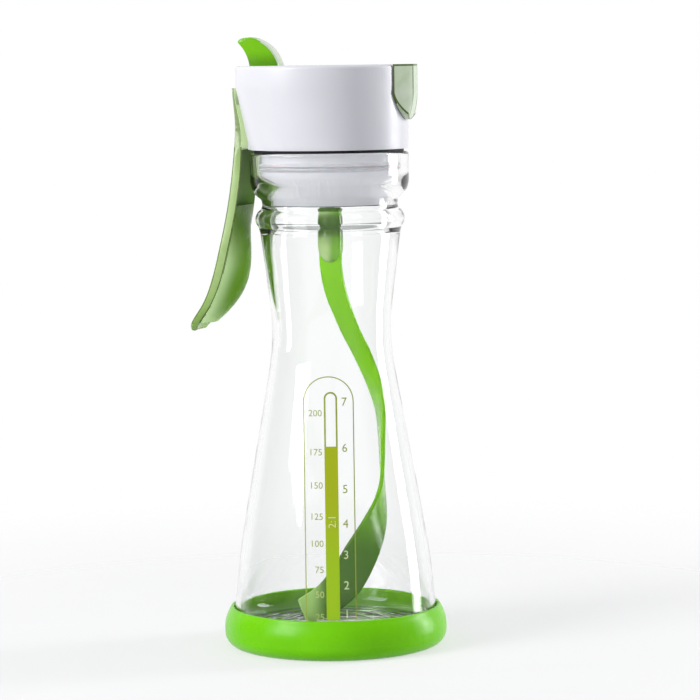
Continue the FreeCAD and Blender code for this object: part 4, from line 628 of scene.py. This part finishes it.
# %% Finishes of the trigger
GRIP_TOP, GRIP_X, GRIP_SLOPE, GRIP_BEND = 150, -37.3, 0.05, 0.0075
SHELL_TAIL, SHELL_HEAD, SHADE_FADE, COVER_HEAD = (112, 128), (168, 182), (151, 163), (132, GRIP_TOP)
CREST, HEAD_CREST, HEAD_DIM = (3.5, 10), 2.5, 0.6
BLACK, COVER_PAINTED_GLOW, GAP_PAINTED_GLOW = (0, 0, 0, 1), (0.19, 0.31, 0.11, 1), (0.2, 0.25, 0.14, 1)
olive_edge = Finish("olive_edge", Specular_IOR_Level=0.5)
olive_edge.mottle(0.3, OLIVE, (0.15, 0.23, 0.04, 1))
olive_edge.wear(0.3, 0.2, 0.3)
shell_green = Finish("light_green_plastic", Specular_IOR_Level=0.4)
shell_tone = shell_green.fade(SHELL_TAIL, (0.27, 0.48, 0.09, 1), (0.38, 0.55, 0.2, 1))
# the shell is painted darker at its top end beside the cap, as shade
shell_green.set("Base Color", shell_green.fade(SHELL_HEAD, shell_tone, (0.26, 0.36, 0.15, 1)))
shell_green.wear(0.2, 0.18, 0.27)
shade_green = Finish("shade_green", Specular_IOR_Level=0.05, Roughness=0.5)
shade_green.set("Base Color", shade_green.fade(SHADE_FADE, (0.06, 0.2, 0.004, 1), (0.24, 0.42, 0.1, 1)))
# painted light with a faint painted glow, for the shell's inner side beside the cap
gap_light_green = Finish("gap_light_green", Specular_IOR_Level=0.1, Roughness=0.4, Emission_Strength=1.0,
                    Emission_Color=GAP_PAINTED_GLOW)
gap_light_green.mottle(0.1, (0.68, 0.78, 0.56, 1), (0.72, 0.81, 0.6, 1))
cover_green = Finish("green_plastic", Specular_IOR_Level=0.04, Emission_Strength=1.0)
fall = GRIP_TOP - cover_green.axis("Z")
outward = cover_green.axis("X") - GRIP_X + fall * GRIP_SLOPE + fall * fall * GRIP_BEND
high = cover_green.axis("Z").spread(0, 1, *COVER_HEAD)
crest = (outward + high * HEAD_CREST).spread(0, 1, *CREST)
# painted pale beside the shell, in place of light coming through the thin edge, and painted darker toward
# the crest and the lid, as shade
cover_green.set("Base Color", high.blend(
    crest.blend((0.72, 0.86, 0.54, 1), (0.2, 0.46, 0.03, 1)),
    crest.blend((0.5, 0.68, 0.24, 1), (0.09, 0.24, 0.006, 1))))
# a painted glow near the shell, dimmed toward the lid
cover_green.set("Emission Color", ((1 - crest) * (1 - high * HEAD_DIM)).blend(BLACK, COVER_PAINTED_GLOW))
cover_green.wear(0.2, 0.2, 0.3)
print("trigger finishes ready")

# %% Trigger
TAIL_END, CAP_FOOT, LUG_HALF = 113, 174, 5
SIDEWAYS, INWARD = 0.9, 0.3


def on_tail_end(at):
    return at.z < TAIL_END


def below_cap(at):
    return at.z < CAP_FOOT


shell = eased("trigger_grip", "trigger_shell", [
    (on_tail_end, 0.6, 4, 0), (below_cap, 0.35, 2, 1), (everywhere, 0.15, 2, -1)])
# inner faces below the cap get painted shade; the lug and the inner side beside the cap get painted light
for face in shell.data.polygons:
    x, y, z = face.center / MM
    on_lug = abs(face.normal.y) > SIDEWAYS and abs(y) < LUG_HALF and z > CAP_FOOT
    if on_lug or (face.normal.x > INWARD and face.material_index == 0 and z > GRIP_TOP):
        face.material_index = 2 if z < CAP_FOOT else 3
settle(shell, "trigger", "light_green_plastic", [shell_green, olive_edge, shade_green, gap_light_green],
       "trigger_shell")
settle(eased("trigger_pad", "trigger_cover", [(everywhere, 0.15, 2, 1)]), "trigger", "green_plastic",
       [cover_green, olive_edge], "trigger_cover")

# %% [markdown]
# ## Spiral ribbon
#
# The blade is a flat ribbon that leaves the hub, swings out to the right and winds round to the
# floor. A shape that follows a path suits Geometry Nodes: a chain of points becomes a curve, a
# flat, rounded profile is swept along it, and each point of the chain carries which way the
# ribbon faces and how wide it is. It is bright above, deep green below as painted shade, and pale
# at its thin tail as a painted reflection.

# %% Path of the ribbon
RIBBON_TOP = 134.7
RIBBON_FALL = 121.1
RIBBON_REACH = 17.05
RIBBON_NARROW = 8.2
RIBBON_WIDE = 13.5
RIBBON_THICK = 1.5
RIBBON_HEADING = 15.0
# share of the fall, of the reach and of the extra width, and the turn in degrees
RIBBON_ROWS = [
    (-0.04, 0.0, 0.0, -70), (0.0, 0.0, 0.0, -68), (0.06, 0.11, 0.03, -61), (0.13, 0.31, 0.08, -52),
    (0.20, 0.52, 0.12, -44), (0.27, 0.76, 0.2, -36), (0.345, 0.92, 0.3, -25), (0.42, 1.0, 0.45, -13),
    (0.50, 1.0, 0.6, -5), (0.58, 1.0, 0.75, -1), (0.65, 1.0, 0.9, 5), (0.71, 1.0, 1.0, 18),
    (0.77, 1.0, 1.0, 38), (0.835, 1.0, 1.0, 58), (0.905, 1.0, 0.85, 77), (0.96, 1.0, 0.55, 100),
    (1.0, 1.0, 0.2, 130),
]
ROW_STEPS = 10


def eased_row(rows, place):
    """The row at a place between rows, on a smooth curve through them."""
    first = min(int(place), len(rows) - 2)
    share = place - first
    near = [Vector(rows[max(0, min(len(rows) - 1, first + n))]) for n in (-1, 0, 1, 2)]
    lean_a, lean_b = (near[2] - near[0]) / 2, (near[3] - near[1]) / 2
    two, three = share * share, share ** 3
    return (near[1] * (2 * three - 3 * two + 1) + lean_a * (three - 2 * two + share)
            + near[2] * (3 * two - 2 * three) + lean_b * (three - two))


centres, facings, widths = [], [], []
for n in range((len(RIBBON_ROWS) - 1) * ROW_STEPS + 1):
    drop, out, extra, turned_by = eased_row(RIBBON_ROWS, n / ROW_STEPS)
    angle = math.radians(RIBBON_HEADING - turned_by)
    facing = Vector((math.cos(angle), math.sin(angle), 0))
    centres.append((facing * RIBBON_REACH * out + UP * (RIBBON_TOP - RIBBON_FALL * drop)) * MM)
    facings.append(facing)
    widths.append((RIBBON_NARROW + (RIBBON_WIDE - RIBBON_NARROW) * extra) * MM)
print("ribbon path of", len(centres), "points")

# %% What the path carries
path = bare_object("mixing_ribbon", centres, [(n, n + 1) for n in range(len(centres) - 1)])
ways = [centres[min(n + 1, len(centres) - 1)] - centres[max(n - 1, 0)] for n in range(len(centres))]
square = [(facing - way * (facing.dot(way) / way.length_squared)).normalized()
          for facing, way in zip(facings, ways)]
across = [way.cross(out).normalized() for way, out in zip(ways, square)]
for label, rows in (("facing", square), ("across", across)):
    path.data.attributes.new(label, "FLOAT_VECTOR", "POINT").data.foreach_set(
        "vector", [number for row in rows for number in row])
path.data.attributes.new("width", "FLOAT", "POINT").data.foreach_set("value", widths)
print("the path carries facing, across and width")

# %% Finish of the ribbon
RIBBON_SHADE_SPAN, RIBBON_CLOUD = (40, 70), 12
TAIL_SIDE, TAIL_HEIGHT = (-9, -2), (24, 34)
ribbon_green = Finish("ribbon_green", Specular_IOR_Level=0.25)
ribbon_z = ribbon_green.axis("Z")
# deep green below as painted shade, bright above
ribbon_shade_tone = (ribbon_z + ribbon_green.noise(0.06, 2) * RIBBON_CLOUD).spread(0, 1, *RIBBON_SHADE_SPAN).blend(
    (0.065, 0.19, 0.002, 1), (0.23, 0.64, 0.001, 1))
# a pale painted reflection on the left of the thin tail
tail_painted_reflection = ribbon_green.rightward().spread(1, 0, *TAIL_SIDE) * ribbon_z.spread(1, 0, *TAIL_HEIGHT)
ribbon_green.set("Base Color", tail_painted_reflection.blend(ribbon_shade_tone, (0.36, 0.6, 0.16, 1)))
ribbon_green.wear(0.2, 0.16, 0.26)
print("ribbon finish ready")

# %% Sweep of the ribbon
RIBBON_SIZES = {"Width": RIBBON_NARROW * MM, "Thickness": RIBBON_THICK * MM, "Edge round": 0.4 * MM}
RIBBON_ROUND_STEPS = 3
value, sockets, keys = new_tree("ribbon_sweep", RIBBON_SIZES)


def carried(label, kind):
    """What each point of the path carries under this name."""
    return value.node("GeometryNodeInputNamedAttribute", {"data_type": kind}, {"Name": label})


line = value.node("GeometryNodeMeshToCurve", {}, {"Mesh": sockets["Geometry"]})
line = value.node("GeometryNodeSetCurveNormal", {"mode": "FREE"},
                  {"Curve": line, "Normal": carried("facing", "FLOAT_VECTOR")})
profile = value.node("GeometryNodeCurvePrimitiveQuadrilateral", {},
                     {"Width": sockets["Thickness"], "Height": sockets["Width"]})
profile = value.node("GeometryNodeFilletCurve", {"mode": "POLY"},
                     {"Curve": profile, "Radius": sockets["Edge round"], "Count": RIBBON_ROUND_STEPS})
height = value.node("ShaderNodeSeparateXYZ", {}, {"Vector": value.node("GeometryNodeInputPosition")}, "Y")
profile = value.node("GeometryNodeStoreNamedAttribute", {"data_type": "FLOAT"},
                     {"Geometry": profile, "Name": "side", "Value": height / sockets["Width"]})
skin = value.node("GeometryNodeCurveToMesh", {},
                  {"Curve": line, "Profile Curve": profile, "Fill Caps": True})
grow = carried("side", "FLOAT") * (carried("width", "FLOAT") - sockets["Width"])
move = value.node("ShaderNodeVectorMath", {"operation": "SCALE"},
                  {0: carried("across", "FLOAT_VECTOR"), "Scale": grow}, "Vector")
skin = value.node("GeometryNodeSetPosition", {}, {"Geometry": skin, "Offset": move})
close_tree(value, skin, ribbon_green)
ribbon = grown(path, value.tree, RIBBON_SIZES, keys)
settle(ribbon, "mixer", "green_plastic", [ribbon_green], "mixing_blade", smooth=40)

# %% [markdown]
# ## Hub of the ribbon
#
# The ribbon hangs from a short stepped hub that grips the shaft. Its lower end is rounded off
# against the ribbon. It is turned. Its upper end is painted a deeper green, and the rounded end
# carries a painted highlight on one side.

# %% Hub
HUB_FADE, HUB_HIGHLIGHT_SIDE = (139, 149.5), (-1.5, 1.2)
hub_green = Finish("hub_green", Specular_IOR_Level=0.3)
# a painted highlight on the left side of the lower hub
hub_highlight_low = hub_green.rightward().spread(0, 1, *HUB_HIGHLIGHT_SIDE).blend((0.46, 0.66, 0.26, 1), (0.2, 0.5, 0.03, 1))
hub_green.set("Base Color", hub_green.fade(HUB_FADE, hub_highlight_low, (0.07, 0.17, 0.012, 1)))
hub_green.wear(0.2, 0.12, 0.2)
HUB_ROWS = [
    (0, 135), ((1.8, 135.4), (3.2, 136.8)), ((4.1, 138.6), (4.4, 141)), (4.4, 150.6),
    ((4.3, 150.83), (4.05, 150.9)), (3.9, 151.0), (3.8, 151.2), (3.8, 152.4), ((3.7, 152.62), (3.45, 152.7)),
    (0, 152.7),
]
settle(turned("blade_hub", HUB_ROWS, sides=96, line_step=2.0), "mixer", "green_plastic", [hub_green],
       smooth=50)

# %% [markdown]
# ## Level print
#
# A scale is printed on the front of the glass: a thin arched frame, a bar like a thermometer,
# and two rows of numbers. Print is a thin skin of ink, so each mark is cut as a flat shape,
# given a little thickness, and laid on the cone by its place across and its height. The lowest
# numbers are painted paler.

# %% Places on the glass
WALL_FOOT, WALL_TOP = 10, 98
wall = [point for point in outline_points(GLASS_OUTSIDE) if WALL_FOOT <= point[1] <= WALL_TOP]


def glass_radius(height):
    """Outer radius of the glass at a height on its flare or cone."""
    for (low_r, low), (high_r, high) in zip(wall, wall[1:]):
        if low <= height <= high:
            return low_r + (high_r - low_r) * (height - low) / (high - low)
    raise ValueError(f"no printed wall at height {height}")


def on_glass(across, height, lift):
    """The place on the front of the glass, so far across and so high, in metres."""
    radius = glass_radius(height) + lift
    depth = math.sqrt(radius * radius - across * across)
    return (image_right * across + toward_camera * depth + UP * height) * MM


print("printed wall from", wall[0][1], "to", wall[-1][1], "mm")

# %% Strokes of ink
INK_LIFT = 0.03
INK_THICK = 0.08
ARCH_STEPS = 24


def stroke(bm, points, width):
    """A band of ink along a path."""
    left, right = [], []
    for n, point in enumerate(points):
        way = Vector(points[min(n + 1, len(points) - 1)]) - Vector(points[max(n - 1, 0)])
        side = Vector((-way.y, way.x)).normalized() * (width / 2)
        left.append(Vector(point) + side)
        right.append(Vector(point) - side)
    loops = [[bm.verts.new(on_glass(x, z, lift)) for x, z in row]
             for row, lift in ((left, INK_LIFT), (right, INK_LIFT), (right, INK_LIFT + INK_THICK),
                               (left, INK_LIFT + INK_THICK))]
    for near, far in zip(loops, loops[1:] + loops[:1]):
        for n in range(len(points) - 1):
            bm.faces.new((near[n], near[n + 1], far[n + 1], far[n]))
    for end in (0, -1):
        bm.faces.new([loop[end] for loop in loops])


def arched(middle, half, top, foot, step=2.0):
    """A path up one side, over a half round and down the other."""
    crown = top - half
    count = max(1, round((crown - foot) / step))
    up = [(middle - half, foot + (crown - foot) * n / count) for n in range(count + 1)]
    turns = [math.pi * n / ARCH_STEPS for n in range(1, ARCH_STEPS)]
    over = [(middle - half * math.cos(turn), crown + half * math.sin(turn)) for turn in turns]
    return up + over + [(2 * middle - x, z) for x, z in reversed(up)]


print("stroke helpers ready")

# %% Frame, bar and fill
PRINT_FOOT = 14.2
FRAME_MIDDLE, FRAME_HALF, FRAME_TOP = -1.5, 8.5, 96.5
BAR_MIDDLE, BAR_HALF, BAR_TOP = -0.8, 2.0, 91.1
BAR_LINE = 0.6
FRAME_LINE = 0.36
FILL_TOP = 72.9
FILL_STEPS = 40
FILL_FADE = (25, 60)
ink = Finish("olive_ink", Specular_IOR_Level=0.3)
ink.mottle(0.8, (0.31, 0.38, 0.05, 1), (0.37, 0.45, 0.07, 1))
ink.wear(0.8, 0.4, 0.55)
fill_ink = Finish("lime_ink", Specular_IOR_Level=0.3)
fill_ink.set("Base Color", fill_ink.fade(FILL_FADE, (0.37, 0.6, 0.012, 1), (0.42, 0.5, 0.009, 1)))
fill_ink.wear(0.8, 0.35, 0.5)
bm = bmesh.new()
stroke(bm, arched(FRAME_MIDDLE, FRAME_HALF, FRAME_TOP, PRINT_FOOT), FRAME_LINE)
stroke(bm, arched(BAR_MIDDLE, BAR_HALF, BAR_TOP, FILL_TOP), BAR_LINE)
settle(made("print_lines", bm), "bottle", None, [ink])
bm = bmesh.new()
stroke(bm, [(BAR_MIDDLE, PRINT_FOOT + (FILL_TOP - PRINT_FOOT) * n / FILL_STEPS)
            for n in range(FILL_STEPS + 1)], 2 * BAR_HALF + BAR_LINE)
settle(made("print_fill", bm), "bottle", None, [fill_ink])

# %% Cutting numbers
FIGURE_HALF = 0.5
FIGURE_WELD = 1e-5


def number_marks(bm, text, across, height, tall, align="CENTER", upright=True):
    """Figures cut from Blender's own letters, laid on the glass."""
    letters = bpy.data.curves.new("figures", "FONT")
    letters.body = text
    letters.align_x = align
    letters.size = 1
    letters.extrude = FIGURE_HALF
    letters.resolution_u = 3
    holder = bpy.data.objects.new("figures", letters)
    bpy.context.scene.collection.objects.link(holder)
    bpy.context.view_layer.update()
    mesh = bpy.data.meshes.new_from_object(
        holder.evaluated_get(bpy.context.evaluated_depsgraph_get()))
    bpy.data.objects.remove(holder)
    marks = bmesh.new()
    marks.from_mesh(mesh)
    bmesh.ops.remove_doubles(marks, verts=marks.verts, dist=FIGURE_WELD)
    low = min(vert.co.y for vert in marks.verts)
    high = max(vert.co.y for vert in marks.verts)
    scale = tall / (high - low)
    for vert in marks.verts:
        x, y = vert.co.x * scale, (vert.co.y - (low + high) / 2) * scale
        spot = (across + x, height + y) if upright else (across - y, height + x)
        lift = INK_LIFT + INK_THICK * (vert.co.z + FIGURE_HALF) + (0 if upright else INK_THICK)
        vert.co = on_glass(*spot, lift)
    marks.to_mesh(mesh)
    marks.free()
    bm.from_mesh(mesh)


print("number helper ready")

# %% Numbers
LEFT_EDGE, LEFT_TALL = -3.75, 2.2
RIGHT_MIDDLE, RIGHT_TALL = 3.85, 2.8
RATIO_HEIGHT, RATIO_TALL = 47.6, 2.6
LEFT_NUMBERS = {"200": 84.2, "175": 71.0, "150": 59.8, "125": 49.3, "100": 40.2, "75": 31.4, "50": 23.0,
                "25": 15.4}
RIGHT_NUMBERS = {"7": 88.0, "6": 72.4, "5": 58.5, "4": 46.9, "3": 36.4, "2": 26.1, "1": 16.4}
LEFT_PALE, RIGHT_PALE, BETWEEN_ROWS = (28, 30), (40, 44), (-1, 1)
number_ink = Finish("number_ink", Specular_IOR_Level=0.3)
left_tone = number_ink.fade(LEFT_PALE, (0.5, 0.62, 0.2, 1), (0.34, 0.41, 0.06, 1))
low_ink = number_ink.axis("Z").spread(1, 0, *RIGHT_PALE)
low_right = number_ink.rightward().spread(0, 1, *BETWEEN_ROWS) * low_ink
number_ink.set("Base Color", low_right.blend(left_tone, (0.72, 0.82, 0.42, 1)))
number_ink.wear(0.8, 0.4, 0.55)
bm = bmesh.new()
for text, height in LEFT_NUMBERS.items():
    number_marks(bm, text, LEFT_EDGE, height, LEFT_TALL, "RIGHT")
for text, height in RIGHT_NUMBERS.items():
    number_marks(bm, text, RIGHT_MIDDLE, height, RIGHT_TALL)
settle(made("print_numbers", bm), "bottle", None, [number_ink])
pale_ink = Finish("pale_ink", Specular_IOR_Level=0.3)
pale_ink.mottle(0.8, (0.78, 0.86, 0.3, 1), (0.82, 0.88, 0.36, 1))
pale_ink.wear(0.8, 0.4, 0.55)
bm = bmesh.new()
number_marks(bm, "2:1", BAR_MIDDLE, RATIO_HEIGHT, RATIO_TALL, upright=False)
settle(made("print_ratio", bm), "bottle", None, [pale_ink])

# %% [markdown]
# ## Inner works
#
# Inside the lid sit the gears, pins, springs and seals, each with the finish of its real
# material: turned steel with fine lines around, milky bearing plastic, and clear soft rubber.

# %% Finishes of the inner works
steel = Finish("steel", Metallic=1.0)
steel.mottle(0.3, (0.56, 0.56, 0.58, 1), (0.64, 0.64, 0.65, 1))
steel_lines = steel.noise(3.0, 2, stretch=(0.15, 0.15, 1))
steel.set("Roughness", steel_lines.spread(0.22, 0.4, *WEAR_SPAN))
steel.bump(steel_lines, 0.01, 0.15)
bearing = Finish("bearing_plastic", Subsurface_Weight=0.15, Subsurface_Scale=1 * MM)
bearing.mottle(0.4, (0.74, 0.74, 0.7, 1), (0.8, 0.8, 0.77, 1))
bearing.wear(0.6, 0.38, 0.52)
bearing.bump(bearing.noise(3.0, 3), 0.02, 0.2)
soft_clear = Finish("clear_rubber", Subsurface_Weight=0.3, Subsurface_Scale=1 * MM)
soft_clear.mottle(0.4, (0.75, 0.75, 0.78, 1), (0.8, 0.8, 0.83, 1))
soft_clear.wear(0.6, 0.35, 0.5)
soft_clear.bump(soft_clear.noise(2.0, 3), 0.03, 0.2)
print("inner finishes ready")

# %% [markdown]
# ## Hinge springs
#
# A coil round each hinge pin has one leg on the lid and one on the piece that it pushes back.
# When the hinge turns, the coil winds up. Each spring is a copy of the engineering wire with a
# steel finish.

# %% Springs
SPRING_TWIST = 1.2 * MM
SPRING_ENDS = {"trigger_spring": ("trigger", SPRING_TWIST), "lever_spring": ("lever", -SPRING_TWIST)}
for node, (mover, end) in SPRING_ENDS.items():
    wire = bpy.data.objects.new(node + "_wire", frame["nodes"][node].data.copy())
    bpy.context.scene.collection.objects.link(wire)
    wire.data.materials.clear()
    wire.data.materials.append(steel.material)
    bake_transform(wire)
    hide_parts(node)
    print(wire.name, "twists between lid and", mover)

# %% [markdown]
# ## Gears, pins and seals
#
# The other pieces in the lid are hardly seen, and their engineering solids already have the
# teeth, holes and grooves of the real ones. They are shown as they are, with only a finish.

# %% Pieces of the inner works
SLOT_FINISH = {"steel": steel, "bearing_plastic": bearing, "clear_rubber": soft_clear,
               "white_plastic": white}
shown = 0
for part in frame["record"]["subparts"]:
    node = frame["nodes"][part["node"]]
    if not node.hide_render:
        node.data.materials.clear()
        node.data.materials.append(SLOT_FINISH[part["material_slot"]].material)
        shown += 1
print("inner pieces shown:", shown)

# %% [markdown]
# ## Floor and light
#
# The floor is a pale sheet that fades out into a white background, so that only the soft shadow
# near the bottle shows. A broad lamp from the left models the lid, and a narrow one from the
# right brightens the far edge.

# %% Floor
FLOOR_HALF = 1200 * MM
FLOOR_FADE = (80, 380)
FLOOR_SHOW = 0.42
floor_mesh = bmesh.new()
bmesh.ops.create_grid(floor_mesh, x_segments=1, y_segments=1, size=FLOOR_HALF)
floor = made("floor", floor_mesh)
floor_finish = Finish("floor", Roughness=0.7)
floor_finish.mottle(0.01, (0.92, 0.92, 0.92, 1), (0.94, 0.94, 0.94, 1))
floor_finish.set("Alpha", floor_finish.from_axis().spread(FLOOR_SHOW, 0, *FLOOR_FADE))
floor.data.materials.append(floor_finish.material)
print("floor ready")

# %% Lamps
AIM_AT = 110


def area_light(name, right, toward, up, size, watts):
    """A rectangular lamp, placed in millimetres beside the view, that looks at the bottle."""
    lamp = bpy.data.objects.new(name, bpy.data.lights.new(name, "AREA"))
    lamp.data.shape = "RECTANGLE"
    lamp.data.size, lamp.data.size_y = (side * MM for side in size)
    lamp.data.energy = watts
    lamp.location = (image_right * right + toward_camera * toward + UP * up) * MM
    lamp.rotation_euler = (UP * AIM_AT * MM - lamp.location).to_track_quat("-Z", "Y").to_euler()
    bpy.context.scene.collection.objects.link(lamp)
    return lamp


key = area_light("key", right=-1000, toward=650, up=650, size=(600, 800), watts=14)
rim = area_light("rim", right=1000, toward=-330, up=300, size=(250, 900), watts=9)
print("lamps:", key.name, rim.name)

# %% [markdown]
# ## Background
#
# The camera sees plain white. Glass needs something dark beside it, or its edges vanish, so
# bent rays see the same white with a grey panel at either side, as in a photo studio. Mirrored
# rays see that too, and a dim room on the side where the camera stands, so that the front of
# the glass carries no veil. Lamps don't shine through rendered glass, so what is inside takes
# a stronger light from the background instead.

# %% World
AMBIENT = (0.4, 0.405, 0.43, 1)
PANEL = (0.12, 0.12, 0.13, 1)
DIM = (0.25, 0.25, 0.27, 1)
WITHIN = (1.05, 1.05, 1.08, 1)
WHITE = (1, 1, 1, 1)
PANEL_SPAN, FRONT_SPAN = (0.72, 0.93), (-0.2, 0.4)
world = bpy.data.worlds.new("studio")
bpy.context.scene.world = world
world.use_nodes = True
sky = Value(world.node_tree)
light_path = world.node_tree.nodes.new("ShaderNodeLightPath")
seen = {name: Value(world.node_tree, light_path.outputs[name])
        for name in ("Is Camera Ray", "Is Glossy Ray", "Is Transmission Ray", "Diffuse Depth")}
looking = sky.node("ShaderNodeTexCoord", output="Generated")
sideways = abs(sky.node("ShaderNodeVectorMath", {"operation": "DOT_PRODUCT"},
                        {0: looking, 1: tuple(image_right)}, "Value"))
studio = sideways.spread(0, 1, *PANEL_SPAN).blend(WHITE, PANEL)
frontward = sky.node("ShaderNodeVectorMath", {"operation": "DOT_PRODUCT"},
                     {0: looking, 1: tuple(toward_camera)}, "Value")
mirrored = frontward.spread(0, 1, *FRONT_SPAN).blend(studio, DIM)
through = sky.sum("MINIMUM", seen["Diffuse Depth"], 1).blend(studio, WITHIN)
lit = seen["Is Transmission Ray"].blend(AMBIENT, through)
bounced = seen["Is Glossy Ray"] * (1 - seen["Is Transmission Ray"])
lit = bounced.blend(lit, mirrored)
lit = seen["Is Camera Ray"].blend(lit, WHITE)
shade = world.node_tree.nodes["Background"]
sky.feed(shade.inputs["Color"], lit)
shade.inputs["Strength"].default_value = 1.0
bpy.context.scene.view_settings.view_transform = "Standard"
print("world ready")
